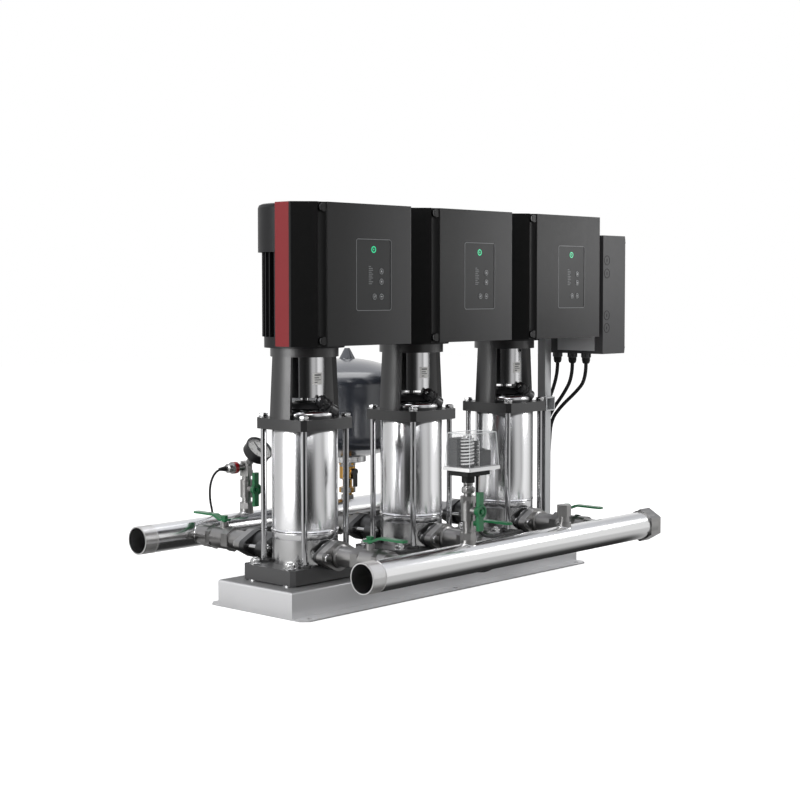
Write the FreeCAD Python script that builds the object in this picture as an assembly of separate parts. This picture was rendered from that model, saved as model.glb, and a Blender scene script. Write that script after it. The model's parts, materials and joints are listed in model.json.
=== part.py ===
"""Booster pump set: three vertical multistage pumps on a common base, with manifolds, valves and controls.

All sizes are in millimetres. X runs along the row of pumps, -Y is the suction side, +Y is the discharge
side and +Z points up. The origin is on the floor, in the middle of the anchor holes of the base.
"""
import FreeCAD, Part
import math
import os

V = FreeCAD.Vector
UP = V(0, 0, 1)

# The row of pumps
PUMP_PITCH = 320.0
PUMP_COUNT = 3
ROW = [PUMP_PITCH * (i - (PUMP_COUNT - 1) / 2) for i in range(PUMP_COUNT)]

# Clearances
FIT = 0.05          # radial, between a turning or sliding piece and its bore
GAP = 0.3           # between pieces that move past each other
BOLT_GAP = 0.5      # radial, round a bolt in its hole

# Base frame, a tray folded from sheet
BASE_LENGTH = 918.0
BASE_WIDTH = 215.0
BASE_HEIGHT = 54.0
BASE_SHEET = 3.0
BASE_EDGE_RADIUS = 4.0
BASE_FLANGE = 34.0
BASE_FLANGE_CHAMFER = 15.0
ANCHOR_HOLE_RADIUS = 6.0
ANCHOR_SPACING_X = 862.0
ANCHOR_SPACING_Y = 254.0

# Foot plate of each pump
STAY_SPACING = 117.2        # of the staybolts, square
STAY_EDGE = 13.4            # staybolt axis to the side of the head flange
SHIM_THICKNESS = 2.5
SHIM_LENGTH = 32.0
SHIM_WIDTH = 24.0
FOOT_LENGTH = 210.0
FOOT_WIDTH = STAY_SPACING + 30.8
FOOT_THICKNESS = 30.0
FOOT_CHAMFER = 8.0
FOOT_BOLT_SPACING_X = 180.0
FOOT_BOLT_SPACING_Y = 100.0
FOOT_BOLT_RADIUS = 6.0
STAY_BOSS_RADIUS = 13.0
STAY_BOSS_HEIGHT = 5.0

# Port casing
CASING_RADIUS = 67.0
CASING_HEIGHT = 50.5
CASING_WALL = 8.0
CASING_FLOOR = 6.0
PORT_HEIGHT = 51.0          # port axis above the underside of the foot plate
PORT_RADIUS = 25.0
PORT_BORE = 17.0
SUCTION_PORT_FACE = 83.0
DISCHARGE_PORT_FACE = 84.0

# Sleeve, chambers and pump head
SLEEVE_LENGTH = 220.0
SLEEVE_WALL = 2.5
SLEEVE_BEAD = 3.8
SLEEVE_BEAD_HEIGHT = 16.5
STAGE_COUNT = 4
CHAMBER_WALL = 3.0
CHAMBER_GAP = 1.5
GUIDE_PLATE = 4.0
GUIDE_BORE = 14.0
IMPELLER_RADIUS = 48.0
IMPELLER_THICKNESS = 14.0
SHAFT_RADIUS = 8.0
HEAD_NECK_RADIUS = 61.5
HEAD_RIM_HEIGHT = 9.0
HEAD_DOME_HEIGHT = 16.0
HEAD_HUB_RADIUS = 22.0
HEAD_HUB_HEIGHT = 30.0
VENT_BOSS_RADIUS = 10.0
VENT_KNOB_RADIUS = 12.0

# Motor stool
HEAD_FLANGE_SIZE = STAY_SPACING + 2 * STAY_EDGE
HEAD_FLANGE_THICKNESS = 22.0
HEAD_FLANGE_CHAMFER = 8.7
HEAD_FLANGE_BULGE = 4.0
STAY_RADIUS = 6.0
STOOL_HEIGHT = 123.0
STOOL_FOOT_RADIUS = 75.0
STOOL_TOP_RADIUS = 69.0
STOOL_WALL = 10.0
STOOL_LEG_ANGLE = 46.0
STOOL_RING_HEIGHT = 18.0
STOOL_RING_BORE = 38.0

# Coupling and its guard
COUPLING_RADIUS = 28.0
COUPLING_LENGTH = 70.0
COUPLING_RISE = 20.0        # gap between the pump head's hub and the coupling
GUARD_RADIUS = 42.0
GUARD_SHEET = 1.5
GUARD_HEIGHT = 82.0
GUARD_SPREAD = 168.0

# Motor
BRACKET_RADIUS = 81.0
BRACKET_HEIGHT = 22.0
MOTOR_RADIUS = 75.0
MOTOR_LENGTH = 168.0
ROTOR_CORE_RADIUS = 46.0
ROTOR_CORE_LENGTH = 120.0
AIR_GAP = 1.0
MOTOR_SHAFT_RADIUS = 12.0
FIN_TIP_RADIUS = 84.7
FIN_THICKNESS = 3.0
FIN_COUNT = 24
FIN_SPREAD = 250.0
COWL_RADIUS = 92.5
COWL_SHEET = 2.5
COWL_HEIGHT = 96.0
COWL_EDGE = 8.0
FAN_RADIUS = 68.0
FAN_BLADES = 6

# Drive box on the front of each motor
DRIVE_RISE = 8.6            # underside of the box above the underside of the motor
DRIVE_HEIGHT = 271.7
DRIVE_LEFT = 177.4
DRIVE_RIGHT = 118.4
DRIVE_FRONT = 186.2
DRIVE_SEAM = 142.4          # where the cover meets the side band
DRIVE_BACK = 105.0
DRIVE_WALL = 4.0
CHEEK_WIDTH = 40.0
CHEEK_SIDE = 148.0
CORNER_RADIUS = 6.0
FLUTE_RADIUS = 14.0
FLUTE_INSET = 46.4
FLUTE_PROUD = 5.8
SCREW_BOSS_RADIUS = 8.0
SCREW_BOSS_INSET = 10.5
PANEL_WIDTH = 97.0
PANEL_HEIGHT = 137.0
PANEL_DEPTH = 1.0
PANEL_CENTRE_X = 7.7
PANEL_CENTRE_RISE = 135.5   # above the underside of the box
KEY_RADIUS = 5.6
KEY_PROUD = 0.9
KEY_LENGTH = 7.5
KEY_RIM = 1.6
KEY_RIM_THICKNESS = 1.5
KEYS = [(29.0, 142.5), (29.0, 122.5), (9.7, 93.5), (29.0, 93.5)]   # x, rise above the underside

# Oval flanges, unions and ball valves of the branches
OVAL_LENGTH = 100.0
OVAL_HEIGHT = 60.0
OVAL_END_RADIUS = 12.0
OVAL_BOLT_SPACING = 75.0
OVAL_BOLT_RADIUS = 5.0
LOOSE_FLANGE = 8.5
COUNTER_FLANGE = 16.0
CHECK_LENGTH = 62.0
CHECK_BARREL_RADIUS = 27.0
CHECK_SEAT = 17.0
CHECK_BORE = 20.0
CHECK_TRAVEL = 8.0
BRANCH_BORE = 14.0
COLLAR_RADIUS = 24.0
COLLAR_LENGTH = 8.0
TUBE_RADIUS = 20.5
VALVE_RADIUS = 23.5
VALVE_HEX = 46.0            # across flats
VALVE_INNER_HEX_FROM = 33.0
VALVE_INNER_HEX_TO = 14.0
VALVE_BODY_TO = 24.0
VALVE_OUTER_HEX_TO = 36.0
SUCTION_VALVE_Y = 182.0
DISCHARGE_VALVE_Y = 247.0
BALL_RADIUS = 19.0
STEM_RADIUS = 5.0
STEM_TOWER_RADIUS = 9.0
STEM_TOWER_TOP = 34.0       # above the branch axis
LEVER_HUB_LIFT = 37.0
LEVER_LIFT = 49.0
LEVER_LENGTH = 96.0
LEVER_WIDTH = 17.0
LEVER_SHEET = 4.0
LEVER_CRANK = 20.0

# Manifolds
PIPE_RADIUS = 30.15
PIPE_WALL = 2.9
THREAD_RADIUS = 29.6
THREAD_LENGTH = 35.0
SUCTION_PIPE_Y = 306.0
DISCHARGE_PIPE_Y = 352.0
PIPE_LEFT = 471.0
PIPE_RIGHT = 448.0
STUB_RADIUS = 20.0
SOCKET_RADIUS = 24.5
SOCKET_LENGTH = 20.0
BOSS_RADIUS = 15.0
BOSS_RISE = 38.0            # top of an instrument boss above the pipe axis
CAP_HEX = 63.0
CAP_LENGTH = 37.0
CAP_DEPTH = 22.0

# Instrument columns
SWITCH_X = -171.0
GAUGE_X = -163.0
PLUG_X = 143.0
COCK_RADIUS = 14.0
COCK_HEX = 27.0
COCK_HEIGHT = 86.0
SWITCH_COCK_RISE = 95.5     # handle axis above the pipe axis
GAUGE_COCK_RISE = 82.5
T_REACH = 34.0              # face of the handle's hub from the column's axis
T_HEIGHT = 76.0
T_WIDTH = 13.0
T_THICKNESS = 8.0
T_HUB_RADIUS = 13.0

# Dry-running switch
SWITCH_LENGTH = 95.0
SWITCH_WIDTH = 70.0
SWITCH_PLATE = 7.0
SWITCH_SHIFT = 11.0
SWITCH_COVER_HEIGHT = 67.0
SWITCH_COVER_DRAFT = 4.5
SWITCH_COVER_WALL = 2.0
SWITCH_BLOCK_HEIGHT = 56.0
SWITCH_SOCKET_HEIGHT = 10.5
SWITCH_STEM_HEIGHT = 15.0

# Pressure gauge
GAUGE_RADIUS = 31.8
GAUGE_DEPTH = 24.0
GAUGE_WALL = 2.0
GAUGE_TILT = 45.0
GAUGE_REACH = 64.0          # rim of the gauge from the centre of its tee
GAUGE_ARM = 24.0
DIAL_SINK = 6.0
POINTER_LENGTH = 22.0
POINTER_REST = 135.0        # turn from the top of the dial to its zero

# Pressure transmitter
TRANSMITTER_LENGTH = 62.0
TRANSMITTER_RADIUS = 13.0

# Diaphragm tank
TANK_X = 160.0
TANK_RADIUS = 140.0
TANK_BOTTOM_RISE = 127.5    # above the pipe axis
TANK_HEIGHT = 238.0
TANK_WALL = 2.5
TANK_SIDE = 111.4           # straight stretch of the side
TANK_KNUCKLE = 40.0
TANK_RING_RADIUS = 45.0
TANK_CAP_RADIUS = 19.0
TANK_CAP_HEIGHT = 24.0
TANK_VALVE_RADIUS = 19.0
TANK_VALVE_HEX = 35.0
TANK_LEVER_LENGTH = 44.0

# Control enclosure and its post
BOX_BACK = BASE_LENGTH / 2 - 9
BOX_DEPTH = 74.0
LID_DEPTH = 26.0
LID_BEVEL = 14.0
BOX_NEAR = 185.0
BOX_WIDTH = 149.0
BOX_BOTTOM = 488.0
BOX_HEIGHT = 272.0
BOX_WALL = 3.0
MOUNT_PLATE = 4.0
WINDOW_WIDTH = 108.0
WINDOW_HEIGHT = 164.0
WINDOW_BOTTOM = 52.0        # above the underside of the enclosure
WINDOW_LEAF = 3.0
RAIL_DEPTH = 20.0
RAIL_HEIGHT = 35.0
RAIL_INSET = 25.0           # from each side of the enclosure
BREAKER_WIDTH = 61.0
BREAKER_HEIGHT = 85.0
BREAKER_INSET = 44.0        # from the near side of the enclosure
BREAKER_RISE = 134.5        # its middle above the underside of the enclosure
BREAKER_RECESS = 34.0       # behind the front of the lid
NOSE_DEPTH = 10.0
NOSE_HEIGHT = 45.0
POST_X = 20.0
POST_Y = 18.0
POST_NEAR = 40.0
POST_WALL = 2.0
POST_LIP = 3.5
POST_TOP = 700.0
POST_FOOT = 4.0
STRUT_SHEET = 2.5
STRUT_WIDTH = 22.0
STRUT_LENGTH = 150.0
STRUT_LAP = 4.0
PLATE_INSET = 22.0          # from the near side of the enclosure
PLATE_STEP = 42.0           # above the underside of the enclosure
PLATE_HEIGHT = 148.0
TONGUE_LENGTH = 104.0
TONGUE_HEIGHT = 35.0
BRACKET_SHEET = 3.0
BRACKET_WIDTH = 33.0
BRACKET_REACH = 24.0
BRACKET_SIDE = 32.0
BRACKET_GAP = 5.0           # beside the head flange of the last pump
GLAND_RADIUS = 11.0
GLAND_LENGTH = 22.0
GLAND_Y = [-51.0, -94.0, -133.0]
GLAND_X = BOX_BACK + 7
SUPPLY_CABLE_RADIUS = 4.3

# Supply cable routes: step along X, share of the way to the foot, and fall below the gland
SUPPLY_ROUTES = [
    [(0, 0, 22), (0, 0.27, 62), (0, 0.66, 98), (-2, 0.966, 136), (-4, 1, 186)],
    [(0, 0, 35), (-3, 0.31, 76), (-5, 0.675, 110), (-5, 0.974, 150), (-4.5, 1, 204)],
    [(0, 0, 39), (2, 0.302, 71), (4.5, 0.689, 103), (4.5, 0.981, 138), (1, 1, 194)]]

# Sensor cables
SENSOR_CABLE_RADIUS = 2.5
SWITCH_CABLE_RADIUS = 3.0
GROMMET_RADIUS = 6.0
GROMMET_LENGTH = 2.5
REAR_GROMMET = (-60.0, 25.0)     # x and height of the transmitter cable's way into the base
FRONT_GROMMET = (61.0, 31.0)     # x and height of the switch cable's way into the base
TRANSMITTER_ROUTE = [
    (-225, 352, 239.5), (-243, 352, 239.5), (-258, 352, 230.5), (-267, 353, 213), (-267.5, 356, 193),
    (-262, 361, 170), (-253, 366, 151), (-240, 378, 133), (-222, 387, 119), (-195, 388.5, 110),
    (-150, 389, 107), (-100, 388.5, 109), (-73, 388.5, 99), (-62, 388, 76), (-60, 388, 45), (-61, 383, 19),
    (-61, 364, 3.2), (-60, 330, 3), (-62, 285, 3.2), (-60, 240, 3), (-61, 200, 3.4), (-60, 166, 10),
    (-60, 137, 25), (-60, 110, 25)]
SWITCH_ROUTE = [
    (-136, -300, 268), (-136, -300, 240), (-138, -300, 208), (-136, -300, 180), (-130, -300.5, 156),
    (-110, -301, 142.2), (-70, -301.5, 141.2), (-25, -300, 141.4), (12, -293, 140.5), (38, -278, 132),
    (52, -257, 113), (58, -228, 85), (60, -196, 57), (61, -168, 37), (61, -139, 31), (61, -110, 31)]

# Heights worked out from the sizes above
DECK = BASE_HEIGHT
FOOT_BOTTOM = DECK + SHIM_THICKNESS
FOOT_TOP = FOOT_BOTTOM + FOOT_THICKNESS
AXIS_Z = FOOT_BOTTOM + PORT_HEIGHT
CASING_TOP = FOOT_TOP + CASING_HEIGHT
HEAD_UNDER = CASING_TOP + SLEEVE_LENGTH
HEAD_TOP = HEAD_UNDER + HEAD_FLANGE_THICKNESS
STOOL_RING_UNDER = HEAD_TOP + STOOL_HEIGHT
MOTOR_UNDER = STOOL_RING_UNDER + STOOL_RING_HEIGHT
FIN_UNDER = MOTOR_UNDER + BRACKET_HEIGHT
FIN_TOP = FIN_UNDER + MOTOR_LENGTH
DRIVE_UNDER = MOTOR_UNDER + DRIVE_RISE
DRIVE_TOP = DRIVE_UNDER + DRIVE_HEIGHT
SLEEVE_BORE = CASING_RADIUS - SLEEVE_WALL
BOX_TOP = BOX_BOTTOM + BOX_HEIGHT


def box(x0, x1, y0, y1, z0, z1):
    """Returns a box between two corners."""
    return Part.makeBox(x1 - x0, y1 - y0, z1 - z0, V(x0, y0, z0))


def rod(start, end, radius):
    """Returns a round bar between two points."""
    return Part.makeCylinder(radius, (end - start).Length, start, end - start)


def turned(profile):
    """Returns a solid turned about the Z axis from a closed outline of (radius, height) points."""
    points = [V(r, 0, z) for r, z in profile]
    return Part.Face(Part.makePolygon(points + points[:1])).revolve(V(0, 0, 0), UP, 360)


def aimed(shape, origin, direction):
    """Returns a shape made along Z, laid from an origin along a direction."""
    copy = shape.copy()
    copy.Placement = FreeCAD.Placement(origin, FreeCAD.Rotation(UP, direction))
    return copy


def prism(points, z0, z1):
    """Returns an upright prism on an outline of (x, y) points."""
    outline = [V(x, y, z0) for x, y in points]
    return Part.Face(Part.makePolygon(outline + outline[:1])).extrude(V(0, 0, z1 - z0))


def hexagon(across_flats, length, origin, direction, turn=0.0):
    """Returns a hexagonal bar from an origin along a direction."""
    corner = across_flats / math.sqrt(3)
    angles = [math.radians(60 * i + turn) for i in range(6)]
    bar = prism([(corner * math.cos(a), corner * math.sin(a)) for a in angles], 0, length)
    return aimed(bar, origin, direction)


def fused(shapes):
    """Returns one solid from overlapping or touching shapes."""
    return shapes[0].multiFuse(shapes[1:]).removeSplitter()


def at_pumps(shape):
    """Returns a list with one copy of a shape at each pump."""
    copies = []
    for x in ROW:
        copy = shape.copy()
        copy.translate(V(x, 0, 0))
        copies.append(copy)
    return copies


def corners(spacing_x, spacing_y):
    """Returns the four corners of a rectangle of holes."""
    return [(sx * spacing_x / 2, sy * spacing_y / 2) for sx in (-1, 1) for sy in (-1, 1)]


def base_frame():
    """Returns the folded base with its floor flanges, anchor holes and foot bolt holes."""
    half_l = BASE_LENGTH / 2
    half_w = BASE_WIDTH / 2
    skin = box(-half_l, half_l, -half_w, half_w, 0, BASE_HEIGHT)
    top_edges = [e for e in skin.Edges if e.BoundBox.ZMin > BASE_HEIGHT - 0.01]
    skin = skin.makeFillet(BASE_EDGE_RADIUS, top_edges)
    parts = [skin]
    reach = half_w + BASE_FLANGE
    c = BASE_FLANGE_CHAMFER
    for side in (-1, 1):
        outline = [(-half_l, side * (half_w - BASE_SHEET)), (half_l, side * (half_w - BASE_SHEET)),
                   (half_l, side * (reach - c)), (half_l - c, side * reach),
                   (-half_l + c, side * reach), (-half_l, side * (reach - c))]
        parts.append(prism(outline, 0, BASE_SHEET))
    for side, (x, z) in ((-1, FRONT_GROMMET), (1, REAR_GROMMET)):
        parts.append(rod(V(x, side * (half_w - 1), z), V(x, side * (half_w + GROMMET_LENGTH), z), GROMMET_RADIUS))
    frame = fused(parts)
    t = BASE_SHEET
    frame = frame.cut(box(-half_l + t, half_l - t, -half_w + t, half_w - t, -1, BASE_HEIGHT - t))
    holes = []
    for x in (-ANCHOR_SPACING_X / 2, 0, ANCHOR_SPACING_X / 2):
        for y in (-ANCHOR_SPACING_Y / 2, ANCHOR_SPACING_Y / 2):
            holes.append(rod(V(x, y, -1), V(x, y, BASE_SHEET + 1), ANCHOR_HOLE_RADIUS))
    for x in ROW:
        for dx, dy in corners(FOOT_BOLT_SPACING_X, FOOT_BOLT_SPACING_Y):
            start = V(x + dx, dy, BASE_HEIGHT - t - 1)
            holes.append(rod(start, V(x + dx, dy, BASE_HEIGHT + 1), FOOT_BOLT_RADIUS + BOLT_GAP))
    return frame.cut(Part.makeCompound(holes))


def foot_plate():
    """Returns the cast foot of one pump, with bosses for the staybolts."""
    half_l = FOOT_LENGTH / 2
    half_w = FOOT_WIDTH / 2
    c = FOOT_CHAMFER
    outline = []
    for sx, sy in ((-1, -1), (1, -1), (1, 1), (-1, 1)):
        pair = [(sx * half_l, sy * (half_w - c)), (sx * (half_l - c), sy * half_w)]
        outline += pair if sx == sy else pair[::-1]
    plate = prism(outline, FOOT_BOTTOM, FOOT_TOP)
    bosses = [rod(V(x, y, FOOT_TOP - 1), V(x, y, FOOT_TOP + STAY_BOSS_HEIGHT), STAY_BOSS_RADIUS)
              for x, y in corners(STAY_SPACING, STAY_SPACING)]
    plate = fused([plate] + bosses)
    plate = plate.cut(rod(V(0, 0, FOOT_TOP), V(0, 0, FOOT_TOP + 20), CASING_RADIUS + GAP))
    holes = [rod(V(x, y, FOOT_BOTTOM - 1), V(x, y, FOOT_TOP + 1), FOOT_BOLT_RADIUS + BOLT_GAP)
             for x, y in corners(FOOT_BOLT_SPACING_X, FOOT_BOLT_SPACING_Y)]
    return plate.cut(Part.makeCompound(holes))


def port_casing():
    """Returns the lower casing of one pump, with a port on each side."""
    z_floor = FOOT_TOP + CASING_FLOOR
    body = rod(V(0, 0, FOOT_TOP), V(0, 0, CASING_TOP), CASING_RADIUS)
    ports = rod(V(0, -SUCTION_PORT_FACE, AXIS_Z), V(0, DISCHARGE_PORT_FACE, AXIS_Z), PORT_RADIUS)
    trim = box(-PORT_RADIUS, PORT_RADIUS, -SUCTION_PORT_FACE, DISCHARGE_PORT_FACE, 0, FOOT_TOP)
    body = fused([body, ports.cut(trim)])
    body = body.cut(rod(V(0, 0, z_floor), V(0, 0, CASING_TOP + 1), CASING_RADIUS - CASING_WALL))
    return body.cut(rod(V(0, -SUCTION_PORT_FACE - 1, AXIS_Z), V(0, DISCHARGE_PORT_FACE + 1, AXIS_Z), PORT_BORE))


def outer_sleeve():
    """Returns the polished sleeve with the bead that sits on the port casing."""
    r = CASING_RADIUS
    z = CASING_TOP
    b = SLEEVE_BEAD
    h = SLEEVE_BEAD_HEIGHT
    return turned([(SLEEVE_BORE, z), (r + b, z), (r + b, z + 0.65 * h), (r, z + h), (r, HEAD_UNDER), (SLEEVE_BORE, HEAD_UNDER)])


def chamber_levels():
    """Returns the floor height of each stage and the stage pitch."""
    pitch = (HEAD_UNDER - HEAD_RIM_HEIGHT - CASING_TOP) / STAGE_COUNT
    return [CASING_TOP + pitch * i for i in range(STAGE_COUNT)], pitch


def chamber_stack():
    """Returns the stack of chambers, a tube with a guide plate below each stage."""
    levels, pitch = chamber_levels()
    outer = SLEEVE_BORE - CHAMBER_GAP
    inner = outer - CHAMBER_WALL
    profile = [(outer, levels[0]), (outer, levels[-1] + pitch)]
    for z in reversed(levels):
        profile += [(inner, z + pitch), (inner, z + GUIDE_PLATE), (GUIDE_BORE, z + GUIDE_PLATE), (GUIDE_BORE, z), (inner, z)]
    return turned(profile)


def pump_head():
    """Returns the pump head, clamped under the motor stool, with its angled vent boss."""
    rim = SLEEVE_BORE - GAP
    neck = HEAD_NECK_RADIUS
    bore = SHAFT_RADIUS + 3
    top = HEAD_TOP + 5
    dome = top + HEAD_DOME_HEIGHT
    head = turned([(bore, HEAD_UNDER - HEAD_RIM_HEIGHT), (rim, HEAD_UNDER - HEAD_RIM_HEIGHT), (rim, HEAD_UNDER),
                   (neck, HEAD_UNDER), (neck, top), (HEAD_HUB_RADIUS, dome),
                   (HEAD_HUB_RADIUS, HEAD_TOP + HEAD_HUB_HEIGHT), (bore, HEAD_TOP + HEAD_HUB_HEIGHT)])
    start, direction = vent_line()
    boss = aimed(Part.makeCone(1.3 * VENT_BOSS_RADIUS, VENT_BOSS_RADIUS, 22), start, direction)
    hex_end = hexagon(1.8 * VENT_BOSS_RADIUS, 6, start + direction * 21, direction)
    return fused([head, boss, hex_end])


def vent_line():
    """Returns where the vent boss starts and which way it points."""
    direction = V(-0.75, -0.2, 0.63)
    direction.normalize()
    return V(26, -HEAD_NECK_RADIUS + 13.5, HEAD_TOP + 7), direction


def vent_plug():
    """Returns the black knob on the end of the vent boss."""
    start, direction = vent_line()
    nut = hexagon(2 * VENT_KNOB_RADIUS, 8, start + direction * 27, direction)
    return fused([nut, rod(start + direction * 34, start + direction * 44, VENT_KNOB_RADIUS - 2.5)])


def bulged_square(size, chamfer, bulge, z0, z1):
    """Returns a square plate with chamfered corners and slightly convex sides."""
    h = size / 2
    edges = []
    for i in range(4):
        turn = FreeCAD.Rotation(UP, 90 * i)
        a = turn.multVec(V(h, -h + chamfer, z0))
        m = turn.multVec(V(h + bulge, 0, z0))
        b = turn.multVec(V(h, h - chamfer, z0))
        c = turn.multVec(V(h - chamfer, h, z0))
        edges += [Part.Arc(a, m, b).toShape(), Part.makeLine(b, c)]
    return Part.Face(Part.Wire(edges)).extrude(V(0, 0, z1 - z0))


def motor_stool():
    """Returns the cast stool: square head flange, two curved legs and the motor ring."""
    flange = bulged_square(HEAD_FLANGE_SIZE, HEAD_FLANGE_CHAMFER, HEAD_FLANGE_BULGE, HEAD_UNDER, HEAD_TOP)
    foot, top, wall = STOOL_FOOT_RADIUS, STOOL_TOP_RADIUS, STOOL_WALL
    leg_outline = [V(foot - wall, 0, HEAD_TOP - 1), V(foot, 0, HEAD_TOP - 1), V(foot, 0, HEAD_TOP),
                   V(top, 0, STOOL_RING_UNDER + 1), V(top - wall, 0, STOOL_RING_UNDER + 1)]
    leg = Part.Face(Part.makePolygon(leg_outline + leg_outline[:1])).revolve(V(0, 0, 0), UP, STOOL_LEG_ANGLE)
    legs = []
    for side in (0, 180):
        copy = leg.copy()
        copy.rotate(V(0, 0, 0), UP, side - STOOL_LEG_ANGLE / 2)
        legs.append(copy)
    ring = turned([(STOOL_RING_BORE, STOOL_RING_UNDER), (top, STOOL_RING_UNDER), (top, MOTOR_UNDER),
                   (STOOL_RING_BORE, MOTOR_UNDER)])
    stool = fused([flange] + legs + [ring])
    cuts = [rod(V(0, 0, HEAD_UNDER - 1), V(0, 0, HEAD_TOP + 8), HEAD_NECK_RADIUS + GAP)]
    for x, y in corners(STAY_SPACING, STAY_SPACING):
        cuts.append(rod(V(x, y, HEAD_UNDER - 1), V(x, y, HEAD_TOP + 1), STAY_RADIUS + BOLT_GAP))
    return stool.cut(Part.makeCompound(cuts))


def coupling_guards():
    """Returns the front and rear halves of one guard, rolled from thin sheet."""
    top = STOOL_RING_UNDER
    bottom = top - GUARD_HEIGHT
    outline = [V(GUARD_RADIUS - GUARD_SHEET, 0, bottom), V(GUARD_RADIUS, 0, bottom), V(GUARD_RADIUS, 0, top),
               V(GUARD_RADIUS - GUARD_SHEET, 0, top)]
    half = Part.Face(Part.makePolygon(outline + outline[:1])).revolve(V(0, 0, 0), UP, GUARD_SPREAD)
    halves = []
    for side in (-90, 90):
        copy = half.copy()
        copy.rotate(V(0, 0, 0), UP, side - GUARD_SPREAD / 2)
        halves.append(copy)
    return halves


def pump_rotor():
    """Returns the turning pieces of one pump: shaft with impellers, coupling, and motor rotor with fan."""
    levels, pitch = chamber_levels()
    shaft_bottom = FOOT_TOP + CASING_FLOOR + GAP
    coupling_bottom = HEAD_TOP + HEAD_HUB_HEIGHT + COUPLING_RISE - 8
    coupling_top = coupling_bottom + COUPLING_LENGTH
    middle = (coupling_bottom + coupling_top) / 2
    profile = [(0, shaft_bottom), (SHAFT_RADIUS, shaft_bottom)]
    for z in levels:
        low = z + 0.4 * pitch
        hub = SHAFT_RADIUS + 5
        profile += [(SHAFT_RADIUS, low), (IMPELLER_RADIUS, low), (IMPELLER_RADIUS, low + 0.5 * IMPELLER_THICKNESS),
                    (hub, low + IMPELLER_THICKNESS), (SHAFT_RADIUS, low + IMPELLER_THICKNESS)]
    profile += [(SHAFT_RADIUS, middle), (0, middle)]
    shaft = turned(profile)
    r = MOTOR_SHAFT_RADIUS
    core_bottom = FIN_UNDER + (MOTOR_LENGTH - ROTOR_CORE_LENGTH) / 2
    core_top = core_bottom + ROTOR_CORE_LENGTH
    fan = FIN_TOP + 20
    motor_shaft = turned([(0, middle), (r, middle), (r, core_bottom), (ROTOR_CORE_RADIUS, core_bottom),
                          (ROTOR_CORE_RADIUS, core_top), (r, core_top), (r, fan), (FAN_RADIUS, fan),
                          (FAN_RADIUS, fan + 4), (r, fan + 4), (r, fan + 30), (0, fan + 30)])
    blades = [box(r - 1, FAN_RADIUS - 4, -1.5, 1.5, fan + 3, fan + 28)]
    for i in range(1, FAN_BLADES):
        blade = blades[0].copy()
        blade.rotate(V(0, 0, 0), UP, 360 * i / FAN_BLADES)
        blades.append(blade)
    motor_shaft = fused([motor_shaft] + blades)
    coupling = turned([(SHAFT_RADIUS, coupling_bottom), (COUPLING_RADIUS, coupling_bottom), (COUPLING_RADIUS, coupling_top),
                       (r, coupling_top), (r, middle), (SHAFT_RADIUS, middle)])
    return [shaft, coupling, motor_shaft]


def motor_housing():
    """Returns the finned motor housing with the neck and tray that carry the drive."""
    body = turned([(MOTOR_SHAFT_RADIUS + 3, MOTOR_UNDER), (BRACKET_RADIUS, MOTOR_UNDER), (BRACKET_RADIUS, FIN_UNDER),
                   (MOTOR_RADIUS, FIN_UNDER), (MOTOR_RADIUS, FIN_TOP), (MOTOR_SHAFT_RADIUS + 3, FIN_TOP)])
    fin = box(MOTOR_RADIUS - 2, FIN_TIP_RADIUS, -FIN_THICKNESS / 2, FIN_THICKNESS / 2, FIN_UNDER, FIN_TOP)
    fins = []
    for i in range(FIN_COUNT):
        angle = 90 - FIN_SPREAD / 2 + FIN_SPREAD * i / (FIN_COUNT - 1)
        copy = fin.copy()
        copy.rotate(V(0, 0, 0), UP, angle)
        fins.append(copy)
    neck = box(-70, 60, -DRIVE_BACK - 1, -50, DRIVE_UNDER + 30, FIN_TOP - 12)
    w = DRIVE_WALL + 0.2
    tray = box(-DRIVE_LEFT + w, DRIVE_RIGHT - w, -DRIVE_SEAM + 2, -DRIVE_BACK, DRIVE_UNDER + w, DRIVE_TOP - w)
    body = fused([body, neck, tray] + fins)
    core_bottom = FIN_UNDER + (MOTOR_LENGTH - ROTOR_CORE_LENGTH) / 2
    room = rod(V(0, 0, core_bottom - 3), V(0, 0, core_bottom + ROTOR_CORE_LENGTH + 3), ROTOR_CORE_RADIUS + AIR_GAP)
    return body.cut(room)


def fan_cowl():
    """Returns the plain fan cowl, a deep cap over the fan, cut away for the drive box."""
    r, t, e = COWL_RADIUS, COWL_SHEET, COWL_EDGE
    top = FIN_TOP + COWL_HEIGHT
    cowl = turned([(r - t, FIN_TOP), (r, FIN_TOP), (r, top - e), (r - 0.3 * e, top - 0.3 * e), (r - e, top),
                   (0, top), (0, top - t), (r - e - t, top - t), (r - t, top - e - t)])
    seat = turned([(MOTOR_SHAFT_RADIUS + 3, FIN_TOP), (r - 1, FIN_TOP), (r - 1, FIN_TOP + 3), (MOTOR_SHAFT_RADIUS + 3, FIN_TOP + 3)])
    return fused([cowl, seat])


def drive_outline(inset):
    """Returns the plan outline of the drive cover as a face at height 0, drawn in by an inset."""
    left, right = -DRIVE_LEFT + inset, DRIVE_RIGHT - inset
    front, back = -DRIVE_FRONT + inset, -DRIVE_SEAM
    radius = max(CORNER_RADIUS - inset, 0.5)
    cheek_y = -CHEEK_SIDE + 0.4 * inset
    cheek_x = -DRIVE_LEFT + CHEEK_WIDTH + 0.55 * inset
    a = V(left, back, 0)
    b = V(left, cheek_y, 0)
    c = V(cheek_x, front, 0)
    d = V(right - radius, front, 0)
    e = V(right, front + radius, 0)
    bend = radius * (1 - math.sqrt(0.5))
    middle = V(right - bend, front + bend, 0)
    f = V(right, back, 0)
    edges = [Part.makeLine(a, b), Part.makeLine(b, c), Part.makeLine(c, d), Part.Arc(d, middle, e).toShape(),
             Part.makeLine(e, f), Part.makeLine(f, a)]
    return Part.Face(Part.Wire(edges))


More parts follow.
